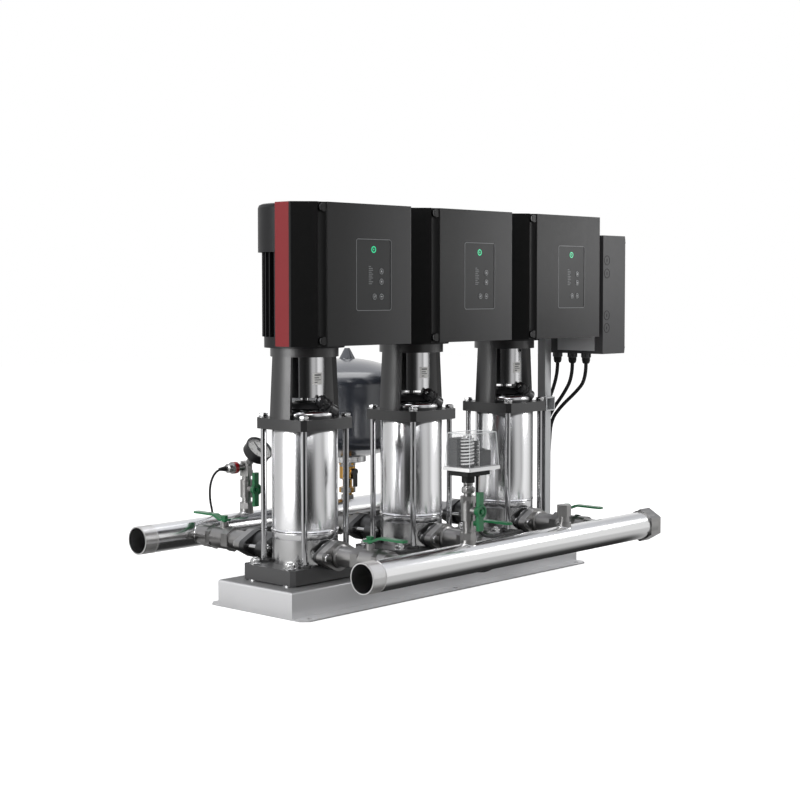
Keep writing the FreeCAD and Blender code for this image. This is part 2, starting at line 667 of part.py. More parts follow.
def drive_cover():
    """Returns the moulded cover of one drive: cheek, flute, screw bosses, panel recess and key holes."""
    w = DRIVE_WALL
    flute_x = -DRIVE_LEFT + FLUTE_INSET
    flute_y = -DRIVE_FRONT - FLUTE_PROUD
    skin = drive_outline(0).extrude(V(0, 0, DRIVE_HEIGHT))
    core = drive_outline(w).extrude(V(0, 0, DRIVE_HEIGHT - 2 * w))
    core.translate(V(0, 0, w))
    back_wall = rod(V(flute_x, flute_y, 0), V(flute_x, flute_y, DRIVE_HEIGHT), FLUTE_RADIUS + w)
    core = core.cut(back_wall)
    skin = skin.cut(rod(V(flute_x, flute_y, -1), V(flute_x, flute_y, DRIVE_HEIGHT + 1), FLUTE_RADIUS))
    boss_x = flute_x + 0.4 * FLUTE_RADIUS
    bosses = []
    for z in (SCREW_BOSS_INSET, DRIVE_HEIGHT - SCREW_BOSS_INSET):
        bosses.append(rod(V(boss_x, -DRIVE_FRONT + 2, z), V(boss_x, -DRIVE_SEAM - 1, z), SCREW_BOSS_RADIUS))
    cover = fused([skin.cut(core)] + bosses)
    cuts = [box(PANEL_CENTRE_X - PANEL_WIDTH / 2, PANEL_CENTRE_X + PANEL_WIDTH / 2, -DRIVE_FRONT - 1,
                -DRIVE_FRONT + PANEL_DEPTH, PANEL_CENTRE_RISE - PANEL_HEIGHT / 2, PANEL_CENTRE_RISE + PANEL_HEIGHT / 2)]
    for x, z in KEYS:
        cuts.append(rod(V(x, -DRIVE_FRONT - 1, z), V(x, -DRIVE_FRONT + w + 1, z), KEY_RADIUS + GAP))
    cover = cover.cut(Part.makeCompound(cuts))
    cover.translate(V(0, 0, DRIVE_UNDER))
    return cover


def side_band():
    """Returns the coloured band round the drive, between its cover and the motor."""
    w = DRIVE_WALL
    skin = box(-DRIVE_LEFT, DRIVE_RIGHT, -DRIVE_SEAM, -DRIVE_BACK, DRIVE_UNDER, DRIVE_TOP)
    room = box(-DRIVE_LEFT + w, DRIVE_RIGHT - w, -DRIVE_SEAM - 1, -DRIVE_BACK + 1, DRIVE_UNDER + w, DRIVE_TOP - w)
    return skin.cut(room)


def key(x, rise):
    """Returns one push key, with the rim that holds it behind the cover."""
    z = DRIVE_UNDER + rise
    tip = -DRIVE_FRONT - KEY_PROUD + PANEL_DEPTH
    rim = -DRIVE_FRONT + DRIVE_WALL + GAP
    stem = rod(V(x, tip, z), V(x, rim + 0.5, z), KEY_RADIUS)
    plate = rod(V(x, rim, z), V(x, rim + KEY_RIM_THICKNESS, z), KEY_RADIUS + KEY_RIM)
    return fused([stem, plate])


def oval(y0, y1, bore):
    """Returns an oval flange on a branch axis, with two bolt holes and a centre bore."""
    half = OVAL_LENGTH / 2 - OVAL_END_RADIUS
    r_mid = OVAL_HEIGHT / 2
    low, high = min(y0, y1), max(y0, y1)
    tilt = math.asin((r_mid - OVAL_END_RADIUS) / half)
    edges = []
    for quarter in range(2):
        s = 1 - 2 * quarter
        mid_up = V(s * r_mid * math.sin(tilt), 0, s * r_mid * math.cos(tilt))
        end_up = V(s * (half + OVAL_END_RADIUS * math.sin(tilt)), 0, s * OVAL_END_RADIUS * math.cos(tilt))
        end_tip = V(s * (half + OVAL_END_RADIUS), 0, 0)
        end_down = V(s * (half + OVAL_END_RADIUS * math.sin(tilt)), 0, -s * OVAL_END_RADIUS * math.cos(tilt))
        mid_down = V(s * r_mid * math.sin(tilt), 0, -s * r_mid * math.cos(tilt))
        bottom = V(0, 0, -s * r_mid)
        next_mid = V(-s * r_mid * math.sin(tilt), 0, -s * r_mid * math.cos(tilt))
        edges += [Part.makeLine(mid_up, end_up), Part.Arc(end_up, end_tip, end_down).toShape(),
                  Part.makeLine(end_down, mid_down), Part.Arc(mid_down, bottom, next_mid).toShape()]
    plate = Part.Face(Part.Wire(edges)).extrude(V(0, high - low, 0))
    plate.translate(V(0, low, AXIS_Z))
    cuts = [rod(V(0, low - 1, AXIS_Z), V(0, high + 1, AXIS_Z), bore)]
    for s in (-1, 1):
        x = s * OVAL_BOLT_SPACING / 2
        cuts.append(rod(V(x, low - 1, AXIS_Z), V(x, high + 1, AXIS_Z), OVAL_BOLT_RADIUS + BOLT_GAP))
    return plate.cut(Part.makeCompound(cuts))


def loose_flanges():
    """Returns the loose oval flange on each port of one pump."""
    s, d = SUCTION_PORT_FACE, DISCHARGE_PORT_FACE
    return [oval(-s, -s + LOOSE_FLANGE, PORT_RADIUS + 0.1), oval(d - LOOSE_FLANGE, d, PORT_RADIUS + 0.1)]


def check_housing():
    """Returns the check valve housing between the discharge port and its counter flange."""
    y0 = DISCHARGE_PORT_FACE
    y1 = y0 + CHECK_LENGTH
    first = oval(y0, y0 + 12, CHECK_BORE - 3)
    last = oval(y1 - 15, y1, CHECK_BORE)
    barrel = rod(V(0, y0, AXIS_Z), V(0, y1, AXIS_Z), CHECK_BARREL_RADIUS)
    housing = fused([first, last, barrel])
    cuts = [rod(V(0, y0 - 1, AXIS_Z), V(0, y1 + 1, AXIS_Z), BRANCH_BORE),
            rod(V(0, y0 + CHECK_SEAT, AXIS_Z), V(0, y1 + 1, AXIS_Z), CHECK_BORE)]
    return housing.cut(Part.makeCompound(cuts))


def check_disc():
    """Returns the disc that shuts the check valve, with its guide stem."""
    y = DISCHARGE_PORT_FACE + CHECK_SEAT + GAP
    disc = rod(V(0, y, AXIS_Z), V(0, y + 3, AXIS_Z), BRANCH_BORE + 2.5)
    guide = rod(V(0, y - 12, AXIS_Z), V(0, y + 14, AXIS_Z), 3)
    vanes = [box(-BRANCH_BORE + GAP, BRANCH_BORE - GAP, y - 12, y, AXIS_Z - 1, AXIS_Z + 1),
             box(-1, 1, y - 12, y, AXIS_Z - BRANCH_BORE + GAP, AXIS_Z + BRANCH_BORE - GAP)]
    return fused([disc, guide] + vanes)


def union(side):
    """Returns the counter flange with its tube, up to the valve. Side is -1 for suction, 1 for discharge."""
    face = SUCTION_PORT_FACE if side < 0 else DISCHARGE_PORT_FACE + CHECK_LENGTH
    valve = SUCTION_VALVE_Y if side < 0 else DISCHARGE_VALVE_Y
    end = valve - VALVE_INNER_HEX_FROM
    plate = oval(side * face, side * (face + COUNTER_FLANGE), BRANCH_BORE)
    neck = turned([(BRANCH_BORE, face + COUNTER_FLANGE), (COLLAR_RADIUS, face + COUNTER_FLANGE),
                   (COLLAR_RADIUS, face + COUNTER_FLANGE + COLLAR_LENGTH - 2),
                   (TUBE_RADIUS, face + COUNTER_FLANGE + COLLAR_LENGTH), (TUBE_RADIUS, end), (BRANCH_BORE, end)])
    return fused([plate, aimed(neck, V(0, 0, AXIS_Z), V(0, side, 0))])


def valve_body(side):
    """Returns a ball valve body with hexagonal ends, a stem tower and the room for its ball."""
    y = SUCTION_VALVE_Y if side < 0 else DISCHARGE_VALVE_Y
    along = V(0, side, 0)
    start = V(0, side * (y - VALVE_INNER_HEX_FROM), AXIS_Z)
    inner_hex = hexagon(VALVE_HEX, VALVE_INNER_HEX_FROM - VALVE_INNER_HEX_TO, start, along, 30)
    middle = rod(V(0, side * (y - VALVE_INNER_HEX_TO), AXIS_Z), V(0, side * (y + VALVE_BODY_TO), AXIS_Z), VALVE_RADIUS)
    outer_hex = hexagon(VALVE_HEX, VALVE_OUTER_HEX_TO - VALVE_BODY_TO, V(0, side * (y + VALVE_BODY_TO), AXIS_Z), along, 30)
    tower = rod(V(0, side * y, AXIS_Z), V(0, side * y, AXIS_Z + STEM_TOWER_TOP), STEM_TOWER_RADIUS)
    body = fused([inner_hex, middle, outer_hex, tower])
    cuts = [rod(V(0, side * (y - VALVE_INNER_HEX_FROM - 1), AXIS_Z), V(0, side * (y + VALVE_OUTER_HEX_TO + 1), AXIS_Z), BRANCH_BORE),
            Part.makeSphere(BALL_RADIUS + GAP, V(0, side * y, AXIS_Z)),
            rod(V(0, side * y, AXIS_Z), V(0, side * y, AXIS_Z + STEM_TOWER_TOP + 1), STEM_RADIUS + FIT)]
    return body.cut(Part.makeCompound(cuts))


def valve_lever(side):
    """Returns the cranked lever of a ball valve, with its stem and ball. It lies along the branch when open."""
    y = SUCTION_VALVE_Y if side < 0 else DISCHARGE_VALVE_Y
    t = LEVER_SHEET
    hub = LEVER_HUB_LIFT
    lift = LEVER_LIFT
    outline = [(-11, hub), (10, hub), (10 + LEVER_CRANK, lift - t), (LEVER_LENGTH, lift - t), (LEVER_LENGTH, lift),
               (8 + LEVER_CRANK, lift), (8, hub + t), (-11, hub + t)]
    points = [V(-LEVER_WIDTH / 2, side * (y + u), AXIS_Z + v) for u, v in outline]
    lever = Part.Face(Part.makePolygon(points + points[:1])).extrude(V(LEVER_WIDTH, 0, 0))
    tip = side * (y + LEVER_LENGTH)
    rounding = [e for e in lever.Edges if abs(e.BoundBox.YMin - tip) < 0.01 and e.BoundBox.ZLength > 1]
    lever = lever.makeFillet(LEVER_WIDTH * 0.42, rounding)
    centre = V(0, side * y, AXIS_Z)
    nut = hexagon(13, 7, centre + V(0, 0, hub + t), UP)
    stem = rod(centre, centre + V(0, 0, hub + t), STEM_RADIUS)
    ball = Part.makeSphere(BALL_RADIUS, centre)
    ball = fused([ball, stem]).cut(rod(centre - V(0, 30, 0), centre + V(0, 30, 0), BRANCH_BORE - 2))
    return fused([lever, ball, nut])


def manifold(side):
    """Returns a manifold pipe, and the branch stubs and instrument bosses that are welded on it."""
    y = -SUCTION_PIPE_Y if side < 0 else DISCHARGE_PIPE_Y
    valve = SUCTION_VALVE_Y if side < 0 else DISCHARGE_VALVE_Y
    stub_from = side * (valve + VALVE_OUTER_HEX_TO)
    left = -PIPE_LEFT + THREAD_LENGTH
    outside = rod(V(-PIPE_LEFT, y, AXIS_Z), V(PIPE_RIGHT, y, AXIS_Z), PIPE_RADIUS)
    bores = [rod(V(-PIPE_LEFT - 1, y, AXIS_Z), V(PIPE_RIGHT + 1, y, AXIS_Z), PIPE_RADIUS - PIPE_WALL)]
    welded = []
    for x in ROW:
        stub = rod(V(x, stub_from, AXIS_Z), V(x, y, AXIS_Z), STUB_RADIUS)
        socket = rod(V(x, stub_from, AXIS_Z), V(x, stub_from + side * SOCKET_LENGTH, AXIS_Z), SOCKET_RADIUS)
        bores.append(rod(V(x, stub_from - side, AXIS_Z), V(x, y, AXIS_Z), BRANCH_BORE))
        welded.append(fused([stub, socket]))
    for x in ([SWITCH_X, PLUG_X] if side < 0 else [GAUGE_X, TANK_X]):
        welded.append(rod(V(x, y, AXIS_Z), V(x, y, AXIS_Z + BOSS_RISE), BOSS_RADIUS))
        bores.append(rod(V(x, y, AXIS_Z), V(x, y, AXIS_Z + BOSS_RISE - 5), 6))
    inside = Part.makeCompound(bores)
    relief = rod(V(-PIPE_LEFT - 1, y, AXIS_Z), V(left, y, AXIS_Z), PIPE_RADIUS + 2)
    relief = relief.cut(rod(V(-PIPE_LEFT - 2, y, AXIS_Z), V(left + 1, y, AXIS_Z), THREAD_RADIUS))
    return [outside.cut(inside).cut(relief)] + [piece.cut(inside).cut(outside) for piece in welded]


def end_cap(side):
    """Returns the hexagonal cap on the right end of a manifold."""
    y = -SUCTION_PIPE_Y if side < 0 else DISCHARGE_PIPE_Y
    start = PIPE_RIGHT - CAP_DEPTH
    cap = hexagon(CAP_HEX, CAP_LENGTH, V(start, y, AXIS_Z), V(1, 0, 0), 0)
    collar = rod(V(start, y, AXIS_Z), V(start + 0.7 * CAP_LENGTH, y, AXIS_Z), CAP_HEX / 2 + 1.5)
    return fused([cap, collar]).cut(rod(V(start - 1, y, AXIS_Z), V(PIPE_RIGHT, y, AXIS_Z), PIPE_RADIUS))


def boss_plug():
    """Returns the plug that closes the spare boss of the suction manifold."""
    z = AXIS_Z + BOSS_RISE
    centre = V(PLUG_X, -SUCTION_PIPE_Y, z)
    return fused([rod(centre, centre + V(0, 0, 14), 11), hexagon(26, 24, centre + V(0, 0, 13), UP)])


def cock(x, y, handle_rise):
    """Returns an instrument cock: a column of hexagons and rounds with a stem boss towards -Y."""
    z0 = AXIS_Z + BOSS_RISE
    z1 = z0 + COCK_HEIGHT
    zh = AXIS_Z + handle_rise
    parts = [rod(V(x, y, z0), V(x, y, z1), COCK_RADIUS * 0.72), hexagon(COCK_HEX, 14, V(x, y, z0), UP),
             rod(V(x, y, zh - 20), V(x, y, zh + 20), COCK_RADIUS), hexagon(COCK_HEX, 13, V(x, y, z1 - 13), UP),
             rod(V(x, y, zh), V(x, y - T_REACH + 12, zh), 8.5)]
    column = fused(parts)
    return column.cut(rod(V(x, y - 8, zh), V(x, y - T_REACH + 11, zh), STEM_RADIUS + FIT))


def cock_handle(x, y, handle_rise):
    """Returns the T handle of a cock: hub, wings along the column, and stem."""
    zh = AXIS_Z + handle_rise
    back = y - T_REACH + 12 - GAP
    hub = aimed(Part.makeCone(T_HUB_RADIUS * 0.7, T_HUB_RADIUS, 14), V(x, back, zh), V(0, -1, 0))
    wings = box(x - T_WIDTH / 2, x + T_WIDTH / 2, back - 12, back - 12 + T_THICKNESS, zh - T_HEIGHT / 2, zh + T_HEIGHT / 2)
    stem = rod(V(x, y - 9, zh), V(x, back - 2, zh), STEM_RADIUS)
    bolt = hexagon(9, 6, V(x, back - 10, zh), V(0, -1, 0))
    recess = rod(V(x, back - 14.1, zh), V(x, back - 11.5, zh), T_HUB_RADIUS * 0.72)
    return fused([fused([hub, wings]).cut(recess), stem, bolt])


def tee_centre():
    """Returns the centre of the tee on the gauge column."""
    return V(GAUGE_X, DISCHARGE_PIPE_Y, AXIS_Z + BOSS_RISE + COCK_HEIGHT + 8)


def gauge_direction():
    """Returns the direction that the gauge faces."""
    tilt = math.radians(GAUGE_TILT)
    return V(0, -math.cos(tilt), math.sin(tilt))


def instrument_tee():
    """Returns the tee on the gauge column, with an arm for the gauge and one for the transmitter."""
    centre = tee_centre()
    parts = [hexagon(24, 20, centre - V(0, 0, 8), UP), rod(centre, centre + gauge_direction() * GAUGE_ARM, 8),
             rod(centre, centre - V(20, 0, 0), 8)]
    return fused(parts)


def gauge_case():
    """Returns the gauge: a cup with a rolled rim, its dial floor and the socket at its back."""
    r, w, d = GAUGE_RADIUS, GAUGE_WALL, GAUGE_DEPTH
    floor = d - DIAL_SINK
    stem = GAUGE_REACH - GAUGE_ARM - d
    cup = turned([(0, 0), (r - 4, 0), (r - 1, 3), (r - 1, d - 4), (r, d - 4), (r, d), (r - w, d), (r - w, floor), (0, floor)])
    socket = fused([cup, rod(V(0, 0, -stem), V(0, 0, 1), 6), hexagon(17, 9, V(0, 0, -stem), UP)])
    socket = socket.cut(rod(V(0, 0, floor - 4), V(0, 0, floor + 1), 1.5 + FIT))
    return aimed(socket, tee_centre() + gauge_direction() * (GAUGE_REACH - d), gauge_direction())


def gauge_pointer():
    """Returns the pointer with its arbor, lying over the dial at its zero."""
    arbor = rod(V(0, 0, -3), V(0, 0, 2.5), 1.5)
    hub = rod(V(0, 0, 1), V(0, 0, 2.5), 4)
    blade = prism([(-2.2, -8), (2.2, -8), (0.7, POINTER_LENGTH), (-0.7, POINTER_LENGTH)], 1, 1.8)
    pointer = fused([arbor, hub, blade])
    pointer.rotate(V(0, 0, 0), UP, POINTER_REST)
    return aimed(pointer, tee_centre() + gauge_direction() * (GAUGE_REACH - DIAL_SINK), gauge_direction())


def transmitter():
    """Returns the pressure transmitter on the side arm of the tee, with its cable plug."""
    r = TRANSMITTER_RADIUS
    length = TRANSMITTER_LENGTH - 20
    body = turned([(0, 0), (8, 0), (8, 8), (r, 10), (r, 24), (r - 3, 27), (r - 3, 36), (6, 38), (6, length), (0, length)])
    return aimed(body, tee_centre() - V(20, 0, 0), V(-1, 0, 0))


def switch_levels():
    """Returns the heights of the switch's stem foot, its socket, its plate and the top of that plate."""
    z0 = AXIS_Z + BOSS_RISE + COCK_HEIGHT
    z1 = z0 + 26 + SWITCH_STEM_HEIGHT
    z2 = z1 + SWITCH_SOCKET_HEIGHT
    return z0, z1, z2, z2 + SWITCH_PLATE


def pressure_switch():
    """Returns the switch: nipple, black socket, base plate and the ribbed block with its setting spring."""
    z0, z1, z2, z3 = switch_levels()
    x, y = SWITCH_X, -SUCTION_PIPE_Y
    cx = x + SWITCH_SHIFT
    nipple = fused([rod(V(x, y, z0), V(x, y, z0 + 28), 9), hexagon(24, 12, V(x, y, z0 + 6), UP)])
    stem = rod(V(x, y, z0 + 26), V(x, y, z1 + 1), 13)
    socket = box(cx - 38, cx + 30, y - 24, y + 26, z1, z2)
    exit_x, exit_y, exit_z = SWITCH_ROUTE[0]
    gland = rod(V(exit_x, exit_y, exit_z), V(exit_x, exit_y, z1 + 1), SWITCH_CABLE_RADIUS + 2)
    plate = box(cx - SWITCH_LENGTH / 2, cx + SWITCH_LENGTH / 2, y - SWITCH_WIDTH / 2, y + SWITCH_WIDTH / 2, z2, z3)
    top = z3 + SWITCH_BLOCK_HEIGHT
    block = box(cx - 38, cx - 5, y - 22, y + 26, z3, top)
    ribs = []
    for i in range(7):
        z = z3 + 4 + i * (SWITCH_BLOCK_HEIGHT - 10) / 6
        ribs.append(box(cx - 36, cx - 8, y - 24.5, y - 21, z, z + 2.5))
    column = rod(V(cx + 10, y - 6, z3 - 1), V(cx + 10, y - 6, top), 8)
    return fused([nipple, stem, socket, gland, plate, block, column] + ribs)


def tapered_box(cx, cy, length, width, z0, z1, draft):
    """Returns a box whose sides lean in by a draft at the top."""
    wires = []
    for z, inset in ((z0, 0), (z1, draft)):
        hl, hw = length / 2 - inset, width / 2 - inset
        ring = [V(cx - hl, cy - hw, z), V(cx + hl, cy - hw, z), V(cx + hl, cy + hw, z), V(cx - hl, cy + hw, z)]
        wires.append(Part.makePolygon(ring + ring[:1]))
    return Part.makeLoft(wires, True, True)


def switch_cover():
    """Returns the clear cover of the switch, open at the bottom."""
    z3 = switch_levels()[3]
    cx, y = SWITCH_X + SWITCH_SHIFT, -SUCTION_PIPE_Y
    w = SWITCH_COVER_WALL
    top = z3 + SWITCH_COVER_HEIGHT
    length, width = SWITCH_LENGTH - 4, SWITCH_WIDTH - 4
    skin = tapered_box(cx, y, length, width, z3, top, SWITCH_COVER_DRAFT)
    room = tapered_box(cx, y, length - 2 * w, width - 2 * w, z3, top - w, SWITCH_COVER_DRAFT)
    return skin.cut(room)


def tank_dome(inset):
    """Returns the outline of the tank's wall from its lowest to its highest point, drawn in by an inset."""
    middle = AXIS_Z + TANK_BOTTOM_RISE + TANK_HEIGHT / 2
    side = TANK_SIDE / 2
    knuckle = TANK_KNUCKLE - inset
    rise = TANK_HEIGHT / 2 - side - TANK_KNUCKLE
    out = TANK_RADIUS - TANK_KNUCKLE
    sink = (out ** 2 - rise ** 2) / (2 * rise)
    crown = TANK_HEIGHT / 2 - side + sink - inset
    lean = math.atan2(sink, out)
    edges = []
    for s in (-1, 1):
        base = middle + s * side
        top = V(0, 0, base + s * (crown - sink))
        half = (math.pi / 2 + lean) / 2
        mid = V(crown * math.cos(half), 0, base + s * (crown * math.sin(half) - sink))
        joint = V(crown * math.cos(lean), 0, base + s * (crown * math.sin(lean) - sink))
        bend = V(out + knuckle * math.cos(lean / 2), 0, base + s * knuckle * math.sin(lean / 2))
        end = V(TANK_RADIUS - inset, 0, base)
        pair = [Part.Arc(top, mid, joint).toShape(), Part.Arc(joint, bend, end).toShape()]
        edges += pair if s < 0 else pair[::-1]
        if s < 0:
            edges.append(Part.makeLine(end, V(end.x, 0, middle + side)))
    return edges


def tank():
    """Returns the diaphragm tank: two pressed domes, foot ring, thread stub and the cap on top."""
    z0 = AXIS_Z + TANK_BOTTOM_RISE
    z1 = z0 + TANK_HEIGHT
    zm = (z0 + z1) / 2
    r = TANK_RADIUS
    w = TANK_WALL
    wall = tank_dome(0) + [Part.makeLine(V(0, 0, z1), V(0, 0, z1 - w))]
    wall += tank_dome(w) + [Part.makeLine(V(0, 0, z0 + w), V(0, 0, z0))]
    body = Part.Face(Part.Wire(Part.__sortEdges__(wall))).revolve(V(0, 0, 0), UP, 360)
    seam = turned([(r - 1, zm - 4), (r + 1.2, zm - 3), (r + 1.2, zm + 3), (r - 1, zm + 4)])
    ring = turned([(TANK_RING_RADIUS - 3, z0 - 9), (TANK_RING_RADIUS, z0 - 9), (TANK_RING_RADIUS, z0 + 8),
                   (TANK_RING_RADIUS - 3, z0 + 8)])
    stub = turned([(0, z0 - 9), (17, z0 - 9), (17, z0 + 2), (0, z0 + 2)])
    cap = turned([(0, z1 - 1), (TANK_CAP_RADIUS, z1 - 1.5), (TANK_CAP_RADIUS, z1), (6, z1 + TANK_CAP_HEIGHT),
                  (0, z1 + TANK_CAP_HEIGHT)])
    shape = fused([body, seam, ring, stub, cap])
    shape.translate(V(TANK_X, DISCHARGE_PIPE_Y, 0))
    return shape


def tank_levels():
    """Returns the top of the tank's boss, the underside of its ring and the height of its valve's lever axis."""
    low = AXIS_Z + BOSS_RISE
    high = AXIS_Z + TANK_BOTTOM_RISE - 9
    return low, high, high - 24


def tank_valve():
    """Returns the valve between the discharge manifold and the tank."""
    low, high, zh = tank_levels()
    x, y = TANK_X, DISCHARGE_PIPE_Y
    parts = [rod(V(x, y, low), V(x, y, high), 11), hexagon(TANK_VALVE_HEX, 12, V(x, y, low + 6), UP),
             rod(V(x, y, zh - 18), V(x, y, zh + 16), TANK_VALVE_RADIUS), hexagon(TANK_VALVE_HEX, 9, V(x, y, high - 9), UP),
             rod(V(x, y, zh), V(x, y - 21, zh), 8)]
    return fused(parts).cut(rod(V(x, y - 10, zh), V(x, y - 22, zh), STEM_RADIUS + FIT))


def tank_valve_handle():
    """Returns the small lever of the tank valve, hanging along the pipe when open."""
    zh = tank_levels()[2]
    x, y = TANK_X, DISCHARGE_PIPE_Y
    back = y - 21 - GAP
    hub = rod(V(x, back, zh), V(x, back - 7, zh), 8)
    blade = box(x - 6, x + 6, back - 7, back - 3, zh - TANK_LEVER_LENGTH + 8, zh)
    stem = rod(V(x, y - 11, zh), V(x, back - 1, zh), STEM_RADIUS)
    return fused([hub, blade, stem])


def enclosure():
    """Returns the pieces of the control enclosure that stay still: tub, lid with window frame, breaker, glands."""
    w = BOX_WALL
    y0, y1 = -BOX_NEAR, -BOX_NEAR + BOX_WIDTH
    x0, x1 = BOX_BACK, BOX_BACK + BOX_DEPTH
    x2 = x1 + LID_DEPTH
    tub = box(x0, x1, y0, y1, BOX_BOTTOM, BOX_TOP).cut(box(x0 + w, x1 + 1, y0 + w, y1 - w, BOX_BOTTOM + w, BOX_TOP - w))
    b = LID_BEVEL
    wires = []
    for x, inset in ((x2 - b, 0), (x2, b * 0.6)):
        ring = [V(x, y0 + inset, BOX_BOTTOM + inset), V(x, y1 - inset, BOX_BOTTOM + inset),
                V(x, y1 - inset, BOX_TOP - inset), V(x, y0 + inset, BOX_TOP - inset)]
        wires.append(Part.makePolygon(ring + ring[:1]))
    lid = fused([box(x1, x2 - b, y0, y1, BOX_BOTTOM, BOX_TOP), Part.makeLoft(wires, True, True)])
    lid = lid.cut(box(x1 - 1, x2 - b, y0 + w, y1 - w, BOX_BOTTOM + w, BOX_TOP - w))
    e = w + 0.6 * b
    lid = lid.cut(box(x1 - 1, x2 - w, y0 + e, y1 - e, BOX_BOTTOM + e, BOX_TOP - e))
    wy0, wy1, wz0, wz1 = window_opening()
    lid = lid.cut(box(x2 - w - 1, x2 + 1, wy0, wy1, wz0, wz1))
    zm = BOX_BOTTOM + BREAKER_RISE
    near = y0 + BREAKER_INSET
    far = near + BREAKER_WIDTH
    face = x2 - BREAKER_RECESS
    rail = box(x0 + w, x0 + w + RAIL_DEPTH, y0 + RAIL_INSET, y1 - RAIL_INSET, zm - RAIL_HEIGHT / 2, zm + RAIL_HEIGHT / 2)
    breaker = box(x0 + w + RAIL_DEPTH, face, near, far, zm - BREAKER_HEIGHT / 2, zm + BREAKER_HEIGHT / 2)
    nose = box(face - 1, face + NOSE_DEPTH, near, far, zm - NOSE_HEIGHT / 2, zm + NOSE_HEIGHT / 2)
    body = fused([breaker, nose]).cut(toggle_room())
    glands = []
    holes = []
    for y in GLAND_Y:
        top = V(GLAND_X, y, BOX_BOTTOM)
        nut = hexagon(2 * GLAND_RADIUS - 2, 9, top, V(0, 0, -1))
        dome = aimed(Part.makeCone(GLAND_RADIUS - 1, 6, GLAND_LENGTH - 9), top - V(0, 0, 9), V(0, 0, -1))
        glands.append(fused([nut, dome]))
        holes.append(top)
    return [tub, lid, rail, body] + glands


def window_opening():
    """Returns the near, far, low and high sides of the window opening in the lid."""
    near = -BOX_NEAR + (BOX_WIDTH - WINDOW_WIDTH) / 2
    low = BOX_BOTTOM + WINDOW_BOTTOM
    return near + 6, near + WINDOW_WIDTH - 6, low + 6, low + WINDOW_HEIGHT - 6


def toggle_axis():
    """Returns a point on the pivot axis of the breaker's toggle."""
    front = BOX_BACK + BOX_DEPTH + LID_DEPTH
    return V(front - BREAKER_RECESS + 2, -BOX_NEAR + BREAKER_INSET + BREAKER_WIDTH / 2, BOX_BOTTOM + BREAKER_RISE)


def toggle_room():
    """Returns the slot in the breaker's nose for its toggle."""
    p = toggle_axis()
    return box(p.x - 9, p.x + 30, p.y - 12 - GAP, p.y + 12 + GAP, p.z - 16, p.z + 16)


def breaker_toggle():
    """Returns the toggle of the breaker, resting in the upper position."""
    p = toggle_axis()
    drum = rod(p - V(0, 12, 0), p + V(0, 12, 0), 7)
    arm = box(p.x, p.x + 17, p.y - 10, p.y + 10, p.z + 1, p.z + 5)
    arm.rotate(p, V(0, 1, 0), -25)
    return fused([drum, arm])


def window_leaf():
    """Returns the clear window leaf on the front of the lid, with its hinge knuckle on the far side."""
    x = BOX_BACK + BOX_DEPTH + LID_DEPTH + GAP
    near = -BOX_NEAR + (BOX_WIDTH - WINDOW_WIDTH) / 2
    low = BOX_BOTTOM + WINDOW_BOTTOM
    leaf = box(x, x + WINDOW_LEAF, near, near + WINDOW_WIDTH, low, low + WINDOW_HEIGHT)
    knuckle = rod(V(x + 2.5, near + WINDOW_WIDTH, low + 12), V(x + 2.5, near + WINDOW_WIDTH, low + WINDOW_HEIGHT - 12), 2.5)
    return fused([leaf, knuckle])


def support_post():
    """Returns the lipped channel post with its foot, plate, strut, pump bracket and cable grommets."""
    x1 = BOX_BACK - MOUNT_PLATE
    x0 = x1 - POST_X
    y0 = -POST_NEAR
    y1 = y0 + POST_Y
    w = POST_WALL
    foot_z = DECK + POST_FOOT
    channel = box(x0, x1, y0, y1, DECK, POST_TOP)
    channel = channel.cut(box(x0 + w, x1 - w, y0 + w, y1 - w, foot_z, POST_TOP + 1))
    channel = channel.cut(box(x0 - 1, x0 + w + 1, y0 + w, y1 - POST_LIP, foot_z, POST_TOP + 1))
    foot = box(x0, x1 + 12, y0 - 8, y1 + 22, DECK, foot_z)
    near = -BOX_NEAR + PLATE_INSET
    step = BOX_BOTTOM + PLATE_STEP
    plate = box(x1, BOX_BACK, near, y1, step, step + PLATE_HEIGHT)
    tongue = box(x1, BOX_BACK, near, near + TONGUE_LENGTH, step - TONGUE_HEIGHT, step + 1)
    strut_z = HEAD_TOP + 7
    strut = box(x0 - STRUT_SHEET, x0, y0, y0 + STRUT_WIDTH, strut_z - STRUT_LAP, strut_z + STRUT_LENGTH)
    post = fused([channel, foot, plate, tongue, strut, pump_bracket(x1, y0, strut_z)])
    grommets = [rod(V(p.x, p.y, foot_z), V(p.x, p.y, foot_z + 8), 4.4) for p in cable_feet()]
    return [post] + grommets


def pump_bracket(post_side, post_front, top):
    """Returns the open pressed bracket that ties the post to the last pump's head flange."""
    t = BRACKET_SHEET
    x0 = ROW[-1] + HEAD_FLANGE_SIZE / 2 + BRACKET_GAP
    x1 = x0 + BRACKET_WIDTH
    y0 = post_front - BRACKET_REACH
    low = top - BRACKET_SIDE
    shell = box(x0, x1, y0, post_front, low, top).cut(box(x0 + t, x1 - t, y0 - 1, post_front - t, low + t, top - t))
    wing = box(x0, post_side, post_front - t, post_front, low, top)
    bolt = hexagon(13, 6, V((x0 + x1) / 2, post_front - t + 1, (low + top) / 2), V(0, -1, 0))
    return fused([shell, wing, bolt])


def cable_feet():
    """Returns where the three supply cables reach the foot of the post."""
    x = BOX_BACK - MOUNT_PLATE + 7
    return [V(x, -POST_NEAR + POST_Y - 5 + 10 * i, DECK + POST_FOOT + 8) for i in (2, 1, 0)]


def hex_bolt(start, end, radius, across_flats, head, nut_end):
    """Returns a bolt with its nut run up: head at the start, nut up to nut_end along the shank."""
    along = end - start
    along.normalize()
    shank = rod(start, end, radius)
    cap = hexagon(across_flats, head, start, along)
    nut = hexagon(across_flats, head, nut_end, along)
    return fused([shank, cap, nut])


